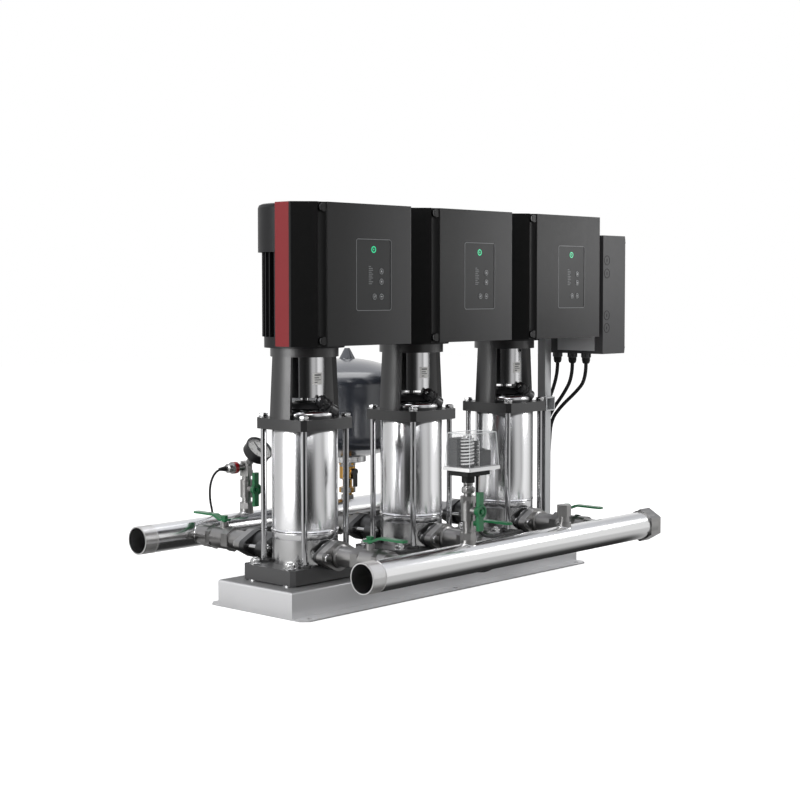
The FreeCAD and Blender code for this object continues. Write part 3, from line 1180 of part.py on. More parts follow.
def staybolt(x, y):
    """Returns one staybolt from the foot plate up through the head flange, with its nut."""
    shank = rod(V(x, y, FOOT_TOP + STAY_BOSS_HEIGHT), V(x, y, HEAD_TOP + 9), STAY_RADIUS)
    return fused([shank, hexagon(18, 8, V(x, y, HEAD_TOP), UP, 15)])


def fasteners():
    """Returns the staybolts, foot bolts, shims and flange bolts as separate solids."""
    pieces = []
    for x, y in corners(STAY_SPACING, STAY_SPACING):
        pieces += at_pumps(staybolt(x, y))
    for x, y in corners(FOOT_BOLT_SPACING_X, FOOT_BOLT_SPACING_Y):
        under = DECK - BASE_SHEET
        bolt = hex_bolt(V(x, y, under - 8), V(x, y, FOOT_TOP + 14), FOOT_BOLT_RADIUS, 19, 8, V(x, y, FOOT_TOP))
        pieces += at_pumps(bolt)
        shim = box(x - SHIM_LENGTH / 2, x + SHIM_LENGTH / 2, y - SHIM_WIDTH / 2, y + SHIM_WIDTH / 2, DECK, FOOT_BOTTOM)
        hole = rod(V(x, y, DECK - 1), V(x, y, FOOT_BOTTOM + 1), FOOT_BOLT_RADIUS + BOLT_GAP)
        pieces += at_pumps(shim.cut(hole))
    head = 7.0
    for x in (-OVAL_BOLT_SPACING / 2, OVAL_BOLT_SPACING / 2):
        front = -SUCTION_PORT_FACE - COUNTER_FLANGE - head
        near = -SUCTION_PORT_FACE + LOOSE_FLANGE
        pieces += at_pumps(hex_bolt(V(x, front, AXIS_Z), V(x, near + head + 4, AXIS_Z), OVAL_BOLT_RADIUS, 16, head,
                                    V(x, near, AXIS_Z)))
        rear = DISCHARGE_PORT_FACE + CHECK_LENGTH + COUNTER_FLANGE + head
        inner = DISCHARGE_PORT_FACE - LOOSE_FLANGE
        pieces += at_pumps(hex_bolt(V(x, rear, AXIS_Z), V(x, inner - head - 2, AXIS_Z), OVAL_BOLT_RADIUS, 16, head,
                                    V(x, inner, AXIS_Z)))
    return pieces


def cord(name, points, radius):
    """Returns a round cord along straight runs joined by tangent arcs, and prints its bends and length."""
    points = [V(*p) for p in points]
    edges = []
    here = points[0]
    radii = []
    for before, corner, after in zip(points, points[1:], points[2:]):
        a = (before - corner)
        b = (after - corner)
        half_turn = (math.pi - a.getAngle(b)) / 2
        setback = 0.45 * min(a.Length, b.Length)
        bend = setback / math.tan(half_turn)
        radii.append(bend)
        a.normalize()
        b.normalize()
        start = corner + a * setback
        end = corner + b * setback
        middle_way = a + b
        middle_way.normalize()
        crown = corner + middle_way * (bend / math.cos(half_turn) - bend)
        edges += [Part.makeLine(here, start), Part.Arc(start, crown, end).toShape()]
        here = end
    edges.append(Part.makeLine(here, points[-1]))
    spine = Part.Wire(edges)
    direction = points[1] - points[0]
    ring = Part.Wire([Part.makeCircle(radius, points[0], direction)])
    tube = spine.makePipeShell([ring], True, False)
    ratio = tube.Volume / (math.pi * radius ** 2 * spine.Length)
    print(f"{name}: length {spine.Length:.0f}, bends {[round(r) for r in radii]}, volume ratio {ratio:.4f}")
    return tube


def supply_cable(index):
    """Returns the cable from one gland down behind the post to its foot grommet."""
    foot = cable_feet()[index]
    top = V(GLAND_X, GLAND_Y[index], BOX_BOTTOM - GLAND_LENGTH)
    reach = foot.y - top.y
    points = [(top.x, top.y, top.z)]
    points += [(top.x + step, top.y + share * reach, top.z - fall) for step, share, fall in SUPPLY_ROUTES[index]]
    drop = points[-1][2] - foot.z
    last = points[-1][2]
    for i, sway in enumerate((2.0, 0.5, 2.0, 0.0), 1):
        points.append((foot.x + sway, foot.y + 0.4 * sway, last - drop * i / 4.6))
    points.append((foot.x, foot.y, foot.z))
    return cord(f"supply_cable_{index + 1}", points, SUPPLY_CABLE_RADIUS)


NODES = {}


def add(name, *shapes):
    """Records a node with one or more solids."""
    NODES[name] = list(shapes)


def build():
    """Builds every node."""
    add("base_frame", base_frame())
    add("foot_plates", *at_pumps(foot_plate()))
    add("port_casings", *at_pumps(port_casing()))
    add("outer_sleeves", *at_pumps(outer_sleeve()))
    add("chamber_stacks", *at_pumps(chamber_stack()))
    add("pump_heads", *at_pumps(pump_head()), *at_pumps(vent_plug()))
    add("motor_stools", *at_pumps(motor_stool()))
    add("coupling_guards", *[c for half in coupling_guards() for c in at_pumps(half)])
    add("motor_housings", *at_pumps(motor_housing()))
    add("fan_cowls", *at_pumps(fan_cowl()))
    add("side_bands", *at_pumps(side_band()))
    add("drive_covers", *at_pumps(drive_cover()))
    add("oval_flanges", *[c for f in loose_flanges() + [check_housing()] for c in at_pumps(f)])
    fittings = [union(-1), valve_body(-1), union(1), valve_body(1)]
    front_pipe, *front_stubs = manifold(-1)
    rear_pipe, *rear_stubs = manifold(1)
    ends = [end_cap(-1), end_cap(1), boss_plug()]
    add("branch_fittings", *[c for f in fittings for c in at_pumps(f)], *front_stubs, *rear_stubs, *ends)
    add("suction_manifold", front_pipe)
    add("discharge_manifold", rear_pipe)
    add("instrument_valves", cock(SWITCH_X, -SUCTION_PIPE_Y, SWITCH_COCK_RISE),
        cock(GAUGE_X, DISCHARGE_PIPE_Y, GAUGE_COCK_RISE), instrument_tee(), tank_valve())
    add("pressure_switch", pressure_switch())
    add("switch_cover", switch_cover())
    add("pressure_gauge", gauge_case())
    add("pressure_transmitter", transmitter())
    add("diaphragm_tank", tank())
    add("control_enclosure", *enclosure())
    add("support_post", *support_post())
    add("fasteners", *fasteners())
    rotor = pump_rotor()
    for i, x in enumerate(ROW, 1):
        add(f"pump_rotor_{i}", *[s.translated(V(x, 0, 0)) for s in rotor])
        add(f"suction_lever_{i}", valve_lever(-1).translated(V(x, 0, 0)))
        add(f"discharge_lever_{i}", valve_lever(1).translated(V(x, 0, 0)))
        add(f"check_disc_{i}", check_disc().translated(V(x, 0, 0)))
        for k, (kx, rise) in enumerate(KEYS, 1):
            add(f"key_{i}_{k}", key(kx, rise).translated(V(x, 0, 0)))
    add("switch_cock_handle", cock_handle(SWITCH_X, -SUCTION_PIPE_Y, SWITCH_COCK_RISE))
    add("gauge_cock_handle", cock_handle(GAUGE_X, DISCHARGE_PIPE_Y, GAUGE_COCK_RISE))
    add("tank_valve_handle", tank_valve_handle())
    add("gauge_pointer", gauge_pointer())
    add("breaker_toggle", breaker_toggle())
    add("enclosure_window", window_leaf())
    for i in range(3):
        add(f"supply_cable_{i + 1}", supply_cable(i))
    add("transmitter_cable", cord("transmitter_cable", TRANSMITTER_ROUTE, SENSOR_CABLE_RADIUS))
    add("switch_cable", cord("switch_cable", SWITCH_ROUTE, SWITCH_CABLE_RADIUS))


def write():
    """Writes one STEP file per node."""
    os.makedirs("parts", exist_ok=True)
    for name, shapes in NODES.items():
        shape = shapes[0] if len(shapes) == 1 else Part.makeCompound(shapes)
        shape.exportStep(f"parts/{name}.step")


build()
write()
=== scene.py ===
"""Looks of the booster pump set: finishes, small parts, cords, studio and camera.

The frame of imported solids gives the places. Lengths here are in millimetres until a form becomes a mesh,
except in the materials and the studio, which work in metres.
"""

import json
import logging
import math
from dataclasses import dataclass, field
from enum import Enum
from typing import Iterable, Optional, Sequence, Union

import bpy
import numpy as np
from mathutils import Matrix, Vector


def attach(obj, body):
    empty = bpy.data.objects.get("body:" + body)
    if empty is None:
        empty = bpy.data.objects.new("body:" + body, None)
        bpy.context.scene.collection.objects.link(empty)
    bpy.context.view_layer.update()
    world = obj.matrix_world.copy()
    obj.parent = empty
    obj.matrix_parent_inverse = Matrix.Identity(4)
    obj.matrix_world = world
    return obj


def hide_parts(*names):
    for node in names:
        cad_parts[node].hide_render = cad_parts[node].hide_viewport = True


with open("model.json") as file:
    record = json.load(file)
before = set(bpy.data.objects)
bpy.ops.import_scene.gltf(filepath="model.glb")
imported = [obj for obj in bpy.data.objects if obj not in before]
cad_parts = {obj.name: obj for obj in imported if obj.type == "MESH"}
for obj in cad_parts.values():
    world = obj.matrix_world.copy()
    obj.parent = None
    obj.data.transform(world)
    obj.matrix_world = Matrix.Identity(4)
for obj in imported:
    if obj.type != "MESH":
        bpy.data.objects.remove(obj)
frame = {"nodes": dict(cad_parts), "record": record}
log = logging.getLogger("pump_set")

Socket = bpy.types.NodeSocket
Point = tuple[float, float, float]
Profile = Sequence[tuple[float, float]]
Stops = tuple[tuple[float, float], ...]

MM = 0.001
TURN = 2 * math.pi

# The object's main lines, in millimetres: pump axes, pipe axes and pipe size, drive boxes, and the axis of a vent plug.
ROW = (-320.0, 0.0, 320.0)
AXIS_Z = 107.5
SUCTION_Y = -306.0
DISCHARGE_Y = 352.0
PIPE_RADIUS = 30.15
DRIVE_FRONT = -186.2
DRIVE_UNDER = 528.6
VENT_START = (30.0, -50.0, 391.0)
VENT_DIRECTION = (-0.83, -0.05, 0.55)

SHARP_ANGLE = 35.0
WHITE = (1.0, 1.0, 1.0, 1.0)


class Finish(Enum):
    """Every finish that the pieces wear."""

    POLISHED_STEEL = "polished_steel"
    SATIN_STEEL = "satin_steel"
    BLACK_IRON = "black_iron"
    BASE_GREY = "base_grey"
    MOTOR_BLACK = "motor_black"
    COVER_BLACK = "cover_black"
    BAND_RED = "band_red"
    NICKEL = "nickel"
    ZINC = "zinc"
    HANDLE_GREEN = "handle_green"
    HANDLE_BLACK = "handle_black"
    BRASS = "brass"
    TANK_BLUE = "tank_blue"
    DIAL_WHITE = "dial_white"
    CLEAR_COVER = "clear_cover"
    ENCLOSURE_GREY = "enclosure_grey"
    POST_GREY = "post_grey"
    CABLE_BLACK = "cable_black"
    KEY_GREY = "key_grey"
    PANEL_BLACK = "panel_black"
    MARK_GREY = "mark_grey"
    LAMP_GREEN = "lamp_green"
    RING_RED = "ring_red"
    SPRING_STEEL = "spring_steel"
    CUT_THREAD = "cut_thread"
    CAST_CASING = "cast_casing"
    RUBBER = "rubber"
    LEAF_GLASS = "leaf_glass"
    DARK_STEEL = "dark_steel"
    HEAD_STEEL = "head_steel"
    BRIGHT_PLATE = "bright_plate"
    CLEAR_EDGE = "clear_edge"
    GUARD_STEEL = "guard_steel"
    KEY_MARK = "key_mark"
    SWITCH_BLOCK = "switch_block"
    LIT_FOOT_IRON = "foot_iron"


@dataclass(frozen=True)
class Look:
    """How a finish is shaded.

    Attributes:
        colour: base colour, linear RGB.
        metallic: 1 for bare metal.
        roughness: mean roughness.
        spread: how far the roughness wanders.
        grain: height of the fine bumps, in metres.
        grain_scale: bumps per metre.
        stretch: grain stretch along X, Y, Z, for brushed and drawn metal.
        mottle: share of colour variation.
        coat: clear coat weight.
        alpha: opacity.
        glow: emission strength.
        specular: strength of the highlight on paint and plastic.
        painted_light_stops: painted shade and painted highlight in the colour: its brightness across one pump pitch,
            from 160 mm left of a pump's axis.
        deck: painted shade: brightness of the colour on the base's deck, darkened for the shade of the pumps.
    """

    colour: tuple[float, float, float]
    metallic: float = 0.0
    roughness: float = 0.5
    spread: float = 0.05
    grain: float = 0.0
    grain_scale: float = 900.0
    stretch: tuple[float, float, float] = (1.0, 1.0, 1.0)
    mottle: float = 0.0
    coat: float = 0.0
    alpha: float = 1.0
    glow: float = 0.0
    specular: float = 0.5
    painted_light_stops: Stops = ()
    deck: float = 1.0


# Painted shade and painted highlight on the drive covers: dark from the left edge to the screw flute, brightening to
# the right, dark again past the right edge.
COVER_PAINTED_LIGHT: Stops = ((0.0, 0.06), (0.09, 0.06), (0.125, 0.15), (0.15, 0.2), (0.28, 0.26), (0.75, 0.90), (0.86, 1.0),
                      (0.872, 0.3), (0.93, 0.06))

LOOKS: dict[Finish, Look] = {
    Finish.POLISHED_STEEL: Look((0.86, 0.86, 0.87), 1.0, 0.19, 0.03, 0.000006, 260, (1, 1, 0.05), 0.06),
    Finish.SATIN_STEEL: Look((0.84, 0.84, 0.84), 1.0, 0.20, 0.04, 0.000008, 700, (0.05, 1, 1), 0.06),
    Finish.BLACK_IRON: Look((0.018, 0.018, 0.019), 0.0, 0.33, 0.08, 0.00008, 420, mottle=0.3, specular=0.8),
    # The base's deck is darkened by painted shade.
    Finish.BASE_GREY: Look((0.66, 0.66, 0.67), 0.45, 0.36, 0.06, 0.00002, 500, deck=0.42),
    Finish.MOTOR_BLACK: Look((0.008, 0.008, 0.009), 0.0, 0.42, 0.06, 0.00006, 600, mottle=0.2, specular=0.28),
    Finish.COVER_BLACK: Look((0.042, 0.042, 0.043), 0.0, 0.42, 0.04, 0.00003, 2600, specular=0.25,
                             painted_light_stops=COVER_PAINTED_LIGHT),
    Finish.BAND_RED: Look((0.175, 0.008, 0.011), 0.0, 0.38, 0.04, 0.00001, 900, specular=0.35),
    Finish.NICKEL: Look((0.36, 0.355, 0.35), 1.0, 0.32, 0.08, 0.00004, 500, mottle=0.2),
    Finish.ZINC: Look((0.66, 0.66, 0.66), 1.0, 0.17, 0.06, 0.00002, 900, mottle=0.10),
    Finish.HANDLE_GREEN: Look((0.004, 0.125, 0.040), 0.0, 0.34, 0.05, 0.00002, 900, coat=0.2),
    Finish.HANDLE_BLACK: Look((0.008, 0.008, 0.009), 0.0, 0.30, 0.05, 0.00002, 900),
    Finish.BRASS: Look((0.62, 0.36, 0.10), 1.0, 0.22, 0.08, 0.00003, 500, mottle=0.12),
    Finish.TANK_BLUE: Look((0.024, 0.028, 0.038), 0.0, 0.26, 0.04, 0.00002, 300, coat=1.0, specular=1.0),
    Finish.DIAL_WHITE: Look((0.78, 0.78, 0.76), 0.0, 0.45, 0.03),
    Finish.CLEAR_COVER: Look((0.42, 0.43, 0.44), 0.0, 0.06, 0.01, alpha=0.09),
    Finish.ENCLOSURE_GREY: Look((0.050, 0.050, 0.052), 0.0, 0.46, 0.05, 0.00003, 2200, mottle=0.04, specular=0.35),
    Finish.POST_GREY: Look((0.52, 0.53, 0.54), 0.5, 0.34, 0.06, 0.00001, 600),
    Finish.CABLE_BLACK: Look((0.006, 0.006, 0.007), 0.0, 0.42, 0.05, 0.00002, 1500, specular=0.35),
    Finish.KEY_GREY: Look((0.030, 0.031, 0.033), 0.0, 0.42, 0.03),
    Finish.PANEL_BLACK: Look((0.023, 0.0235, 0.024), 0.0, 0.42, 0.02, specular=0.25),
    Finish.MARK_GREY: Look((0.15, 0.155, 0.16), 0.0, 0.45, 0.02),
    Finish.LAMP_GREEN: Look((0.01, 0.45, 0.20), 0.0, 0.3, 0.0, glow=0.8),
    Finish.RING_RED: Look((0.26, 0.008, 0.012), 0.0, 0.25, 0.03, coat=0.3),
    Finish.SPRING_STEEL: Look((0.85, 0.85, 0.85), 0.3, 0.25, 0.05),
    Finish.CUT_THREAD: Look((0.55, 0.54, 0.53), 0.6, 0.46, 0.08, 0.00003, 900, mottle=0.15),
    Finish.CAST_CASING: Look((0.60, 0.60, 0.60), 1.0, 0.20, 0.05, 0.00002, 420, mottle=0.15),
    Finish.RUBBER: Look((0.008, 0.008, 0.008), 0.0, 0.6, 0.05, specular=0.3),
    Finish.LEAF_GLASS: Look((0.30, 0.33, 0.35), 0.0, 0.12, 0.02, alpha=0.55),
    Finish.GUARD_STEEL: Look((0.70, 0.70, 0.71), 1.0, 0.13, 0.02, 0.000004, 300, (1, 1, 0.05), 0.05),
    Finish.BRIGHT_PLATE: Look((0.80, 0.80, 0.80), 0.5, 0.30, 0.05),
    Finish.CLEAR_EDGE: Look((0.80, 0.82, 0.83), 0.0, 0.15, 0.02, alpha=0.75),
    Finish.HEAD_STEEL: Look((0.030, 0.030, 0.032), 0.0, 0.30, 0.05, 0.00004, 500, mottle=0.1, specular=0.7),
    Finish.DARK_STEEL: Look((0.50, 0.50, 0.51), 1.0, 0.10, 0.03, mottle=0.1),
    # The pump feet wear a lighter copy of the black iron: painted light where the feet catch more light.
    Finish.LIT_FOOT_IRON: Look((0.050, 0.050, 0.051), 0.0, 0.36, 0.08, 0.00008, 420, mottle=0.3, specular=0.8),
    Finish.KEY_MARK: Look((0.42, 0.43, 0.44), 0.0, 0.45, 0.02),
    Finish.SWITCH_BLOCK: Look((0.022, 0.023, 0.024), 0.0, 0.45, 0.03),
}


def shaded(colour: Sequence[float], share: float = 1.0) -> tuple[float, ...]:
    """Returns a colour at a share of its brightness, with full opacity."""
    return (*[channel * share for channel in colour], 1.0)


class Nodes:
    """A small helper that adds and links shader nodes."""

    def __init__(self, tree: bpy.types.NodeTree) -> None:
        """Clears the tree.

        Args:
            tree: the node tree to fill.
        """
        tree.nodes.clear()
        self.tree = tree

    def add(self, kind: str, **values: object) -> bpy.types.Node:
        """Adds a node.

        Args:
            kind: the node's type name.
            values: attributes of the node, or values of its inputs by name with spaces as underscores.

        Returns:
            The new node.
        """
        node = self.tree.nodes.new(kind)
        for name, value in values.items():
            if hasattr(node, name):
                setattr(node, name, value)
            else:
                node.inputs[name.replace("_", " ")].default_value = value
        return node

    def link(self, start: Socket, end: Socket) -> None:
        """Links an output to an input."""
        self.tree.links.new(start, end)

    def feed(self, end: Socket, value: Union[Socket, float, Sequence[float]]) -> None:
        """Gives an input its value.

        Args:
            end: the input.
            value: the output to link to it, or the number or colour to set.
        """
        if isinstance(value, Socket):
            self.link(value, end)
        else:
            end.default_value = value

    def split(self, vector: Socket) -> bpy.types.NodeOutputs:
        """Splits a vector.

        Args:
            vector: the vector.

        Returns:
            Its parts, by the names X, Y and Z.
        """
        node = self.add("ShaderNodeSeparateXYZ")
        self.link(vector, node.inputs[0])
        return node.outputs

    def math(self, operation: str, *values: Union[Socket, float]) -> Socket:
        """Adds a sum.

        Args:
            operation: what the node works out.
            values: its inputs, in order.

        Returns:
            The result.
        """
        node = self.add("ShaderNodeMath", operation=operation)
        for end, value in zip(node.inputs, values):
            self.feed(end, value)
        return node.outputs[0]

    def rise(self, value: Socket, low: float, high: float, smooth: bool = False) -> Socket:
        """Adds a ramp that grows from 0 at one value to 1 at another.

        Args:
            value: what the ramp follows.
            low: where it starts.
            high: where it ends.
            smooth: whether it eases in and out.

        Returns:
            The ramp's value.
        """
        kind = "SMOOTHSTEP" if smooth else "LINEAR"
        node = self.add("ShaderNodeMapRange", interpolation_type=kind, From_Min=low, From_Max=high)
        self.link(value, node.inputs["Value"])
        return node.outputs["Result"]

    def mixed(self, share: Socket, first: Union[Socket, Sequence[float]],
              second: Union[Socket, Sequence[float]]) -> Socket:
        """Mixes two colours.

        Args:
            share: how much of the second colour shows.
            first: the first colour.
            second: the second colour.

        Returns:
            The mixed colour.
        """
        node = self.add("ShaderNodeMix", data_type="RGBA")
        for end, value in zip((node.inputs[0], node.inputs[6], node.inputs[7]), (share, first, second)):
            self.feed(end, value)
        return node.outputs[2]

    def banded(self, value: Socket, stops: Stops, colour: Sequence[float] = (1.0, 1.0, 1.0)) -> Socket:
        """Adds bands of light and dark.

        Args:
            value: 0 to 1 across the bands.
            stops: positions with the brightness at each.
            colour: the colour at full brightness.

        Returns:
            The colour of the band.
        """
        node = self.add("ShaderNodeValToRGB")
        elements = node.color_ramp.elements
        while len(elements) > 1:
            elements.remove(elements[-1])
        for k, (position, share) in enumerate(stops):
            stop = elements.new(position) if k else elements[0]
            stop.position = position
            stop.color = shaded(colour, share)
        self.link(value, node.inputs["Fac"])
        return node.outputs["Color"]

    def either(self, share: Socket, first: bpy.types.Node, second: bpy.types.Node) -> bpy.types.Node:
        """Mixes two shaders.

        Args:
            share: how much of the second shader shows.
            first: the first shader.
            second: the second shader.

        Returns:
            The node that mixes them.
        """
        node = self.add("ShaderNodeMixShader")
        for end, start in zip(node.inputs, (share, first.outputs[0], second.outputs[0])):
            self.link(start, end)
        return node


class Finisher:
    """Makes each material once and hands it out. Lengths are in metres.

    Attributes:
        CLOUD_SHARE: grain bumps across one cloud of the wandering roughness and colour.
        FINEST_CLOUD: fewest clouds per metre.
        SMOOTHEST: lowest roughness.
        COAT_ROUGHNESS: roughness of the clear coat.
        PITCH: distance between the pumps.
        DECK_EDGE: heights between which the base's side becomes its deck, where the painted shade sets in.
    """

    CLOUD_SHARE = 25
    FINEST_CLOUD = 12.0
    SMOOTHEST = 0.02
    COAT_ROUGHNESS = 0.15
    PITCH = 0.32
    DECK_EDGE = (0.0520, 0.0536)

    def __init__(self) -> None:
        """Starts with no materials."""
        self.made: dict[Finish, bpy.types.Material] = {}

    def material(self, finish: Finish) -> bpy.types.Material:
        """Returns the material of a finish.

        Args:
            finish: which finish.

        Returns:
            The material, made on first use.
        """
        if finish not in self.made:
            self.made[finish] = self._make(finish.value, LOOKS[finish])
        return self.made[finish]

    def _make(self, name: str, look: Look) -> bpy.types.Material:
        """Builds a material from its look.

        Args:
            name: the material's name.
            look: how it is shaded.

        Returns:
            The material.
        """
        material = bpy.data.materials.new(name)
        material.use_nodes = True
        n = Nodes(material.node_tree)
        shader = n.add("ShaderNodeBsdfPrincipled", Metallic=look.metallic, Roughness=look.roughness,
                       Coat_Weight=look.coat, Coat_Roughness=self.COAT_ROUGHNESS, Specular_IOR_Level=look.specular,
                       Alpha=look.alpha, Base_Color=shaded(look.colour))
        if look.glow:
            shader.inputs["Emission Color"].default_value = shaded(look.colour)
            shader.inputs["Emission Strength"].default_value = look.glow
        place = n.add("ShaderNodeTexCoord").outputs["Object"]
        scale = n.add("ShaderNodeMapping", Scale=look.stretch)
        n.link(place, scale.inputs["Vector"])
        cloud = n.add("ShaderNodeTexNoise", Scale=max(self.FINEST_CLOUD, look.grain_scale / self.CLOUD_SHARE), Detail=5)
        n.link(scale.outputs["Vector"], cloud.inputs["Vector"])
        if look.spread:
            rough = n.add("ShaderNodeMapRange", To_Min=max(self.SMOOTHEST, look.roughness - look.spread),
                          To_Max=min(1.0, look.roughness + look.spread))
            n.link(cloud.outputs["Fac"], rough.inputs["Value"])
            n.link(rough.outputs["Result"], shader.inputs["Roughness"])
        # Painted light in the base colour: shade and a highlight on the drive covers, shade on the base's deck.
        if look.painted_light_stops:
            n.link(self._painted_light(n, place, look), shader.inputs["Base Color"])
        elif look.deck < 1.0:
            n.link(self._painted_deck_shade(n, place, look), shader.inputs["Base Color"])
        elif look.mottle:
            tint = n.mixed(cloud.outputs["Fac"], shaded(look.colour), shaded(look.colour, 1 - look.mottle))
            n.link(tint, shader.inputs["Base Color"])
        if look.grain:
            fine = n.add("ShaderNodeTexNoise", Scale=look.grain_scale, Detail=3)
            n.link(scale.outputs["Vector"], fine.inputs["Vector"])
            bump = n.add("ShaderNodeBump", Distance=look.grain, Strength=1.0)
            n.link(fine.outputs["Fac"], bump.inputs["Height"])
            n.link(bump.outputs["Normal"], shader.inputs["Normal"])
        n.link(shader.outputs["BSDF"], n.add("ShaderNodeOutputMaterial").inputs["Surface"])
        return material

    def _painted_light(self, n: Nodes, place: Socket, look: Look) -> Socket:
        """Paints shade and a highlight into the colour across each pump pitch: bands over x plus half a pitch, modulo
        the pitch.

        Args:
            n: the node tree.
            place: the place on the object.
            look: holds the colour and the stops.

        Returns:
            The shaded colour.
        """
        start = n.math("ADD", n.split(place)["X"], self.PITCH / 2)
        return n.banded(n.math("FRACT", n.math("DIVIDE", start, self.PITCH)), look.painted_light_stops, look.colour)

    def _painted_deck_shade(self, n: Nodes, place: Socket, look: Look) -> Socket:
        """Paints shade on the base's deck: darkens the colour above the deck's edge with a short ramp of the height.

        Args:
            n: the node tree.
            place: the place on the object.
            look: holds the colour and the deck's share of it.

        Returns:
            The shaded colour.
        """
        height = n.rise(n.split(place)["Z"], *self.DECK_EDGE)
        return n.mixed(height, shaded(look.colour), shaded(look.colour, look.deck))


@dataclass
class Form:
    """A shape as points and faces, in millimetres.

    Attributes:
        points: an array of shape (n, 3).
        quads: faces of four point numbers each, shape (m, 4).
        caps: faces with any other count of point numbers.
    """

    points: np.ndarray
    quads: np.ndarray = field(default_factory=lambda: np.empty((0, 4), int))
    caps: list[np.ndarray] = field(default_factory=list)

    def placed(self, points: np.ndarray) -> "Form":
        """Returns the same faces on other points."""
        return Form(points, self.quads, self.caps)

    def moved(self, x: float = 0, y: float = 0, z: float = 0) -> "Form":
        """Returns the form moved by a step along each axis."""
        return self.placed(self.points + np.array([x, y, z], float))

    def rolled(self, degrees: float) -> "Form":
        """Turns the form about Z: each point times the matrix of the turn.

        Args:
            degrees: the turn, counter-clockwise from above.

        Returns:
            The turned form.
        """
        a = math.radians(degrees)
        turn = np.array([[math.cos(a), -math.sin(a), 0], [math.sin(a), math.cos(a), 0], [0, 0, 1]])
        return self.placed(self.points @ turn.T)

    def aimed(self, origin: Iterable[float], direction: Iterable[float]) -> "Form":
        """Returns the form with its Z axis laid along a direction from an origin."""
        turn = Vector((0, 0, 1)).rotation_difference(Vector(direction)).to_matrix()
        return self.placed(self.points @ np.array(turn).T + np.array(tuple(origin), float))


def joined(forms: Iterable[Form]) -> Form:
    """Joins forms into one.

    Args:
        forms: the forms.

    Returns:
        One form that holds them all, with the point numbers of each raised by the points before it.
    """
    forms = list(forms)
    starts = np.cumsum([0] + [len(form.points) for form in forms])
    quads = [form.quads + start for form, start in zip(forms, starts)]
    caps = [cap + start for form, start in zip(forms, starts) for cap in form.caps]
    return Form(np.vstack([form.points for form in forms]), np.vstack(quads), caps)


def grid_faces(rows: int, columns: int, around: bool, along: bool = False) -> np.ndarray:
    """Lists the quads of a grid of points: each point with its neighbours in the row and in the next row.

    Args:
        rows: rows of points.
        columns: points in a row.
        around: whether a row closes on itself.
        along: whether the last row joins the first.

    Returns:
        The quads, shape (m, 4).
    """
    i, j = np.mgrid[:rows if along else rows - 1, :columns if around else columns - 1]
    k, m = (i + 1) % rows, (j + 1) % columns
    corners = [i * columns + j, i * columns + m, k * columns + m, k * columns + j]
    return np.stack(corners, axis=-1).reshape(-1, 4)


def capped(grid: np.ndarray) -> Form:
    """Makes a solid from a row of loops, with a flat face on the first and on the last.

    Args:
        grid: loops of points, shape (rows, columns, 3).

    Returns:
        The solid.
    """
    rows, columns, _ = grid.shape
    last = (rows - 1) * columns
    caps = [np.arange(columns)[::-1], np.arange(last, last + columns)]
    return Form(grid.reshape(-1, 3), grid_faces(rows, columns, True), caps)


def steps_round(count: int) -> np.ndarray:
    """Returns evenly spaced angles of one turn, without the last."""
    return np.linspace(0, TURN, count, endpoint=False)


def lathe(profile: Profile, steps: int = 64, closed: bool = False) -> Form:
    """Turns an outline about Z: x = r cos a, y = r sin a, with r and z from the outline.

    Args:
        profile: points of radius and height, from the bottom centre round to the top.
        steps: divisions of the turn.
        closed: whether the outline closes on itself, as on a ring.

    Returns:
        The turned form. Ends at radius 0 are closed by a fan.
    """
    outline = np.array(list(profile), float)
    angles = steps_round(steps)
    r, z = outline[:, :1], outline[:, 1:]
    grid = np.stack([r * np.cos(angles), r * np.sin(angles), z + 0 * angles], axis=2)
    return Form(grid.reshape(-1, 3), grid_faces(len(outline), steps, True, closed))


def ring(inner: float, outer: float, low: float, high: float, steps: int = 64, edge: float = 0.3) -> Form:
    """Makes a washer-like ring with eased edges: its section turned about Z.

    Args:
        inner: bore radius.
        outer: outside radius.
        low: lower face.
        high: upper face.
        steps: divisions of the turn.
        edge: width of the eased edges.

    Returns:
        The ring as a closed form.
    """
    e = edge
    section = [(inner, low), (outer - e, low), (outer, low + e), (outer, high - e), (outer - e, high), (inner, high)]
    return lathe(section, steps, True)


def disc(radius: float, low: float, high: float, steps: int = 48, edge: float = 0.4) -> Form:
    """Makes a solid disc with eased edges: its half section turned about Z.

    Args:
        radius: outside radius.
        low: lower face.
        high: upper face.
        steps: divisions of the turn.
        edge: width of the eased edges, at most half the thickness.

    Returns:
        The disc.
    """
    e = min(edge, (high - low) / 2.01)
    return lathe([(0, low), (radius - e, low), (radius, low + e), (radius, high - e), (radius - e, high), (0, high)],
                 steps)


def slab(outline: np.ndarray, low: float, high: float, edge: float = 0.0) -> Form:
    """Raises a flat outline into a slab: the same loop at each level, drawn to its centre by the edge at the top.

    Args:
        outline: points of the outline, counter-clockwise, shape (n, 2).
        low: lower face.
        high: upper face.
        edge: how far the top is drawn in, for an eased edge.

    Returns:
        The slab.
    """
    centre = outline.mean(axis=0)
    arms = outline - centre
    span = np.maximum(np.abs(arms).max(axis=0), 0.001)
    levels = [(0.0, low), (0.0, high - edge), (edge, high)] if edge else [(0.0, low), (0.0, high)]
    loops = [np.column_stack([centre + arms * (1 - inset / span), np.full(len(outline), z)]) for inset, z in levels]
    return capped(np.stack(loops))


def rounded(width: float, height: float, radius: float, steps: int = 6) -> np.ndarray:
    """Outlines a rectangle with round corners: a quarter circle about the centre of each corner.

    Args:
        width: size along X.
        height: size along Y.
        radius: corner radius.
        steps: divisions of each corner.

    Returns:
        The outline round the origin, shape (n, 2).
    """
    quarter, share = (values.ravel() for values in np.mgrid[:4, :steps + 1])
    a = math.pi / 2 * (quarter + share / steps)
    side = np.array([(1, 1), (-1, 1), (-1, -1), (1, -1)])[quarter]
    return side * np.array([width / 2 - radius, height / 2 - radius]) + radius * np.column_stack([np.cos(a), np.sin(a)])


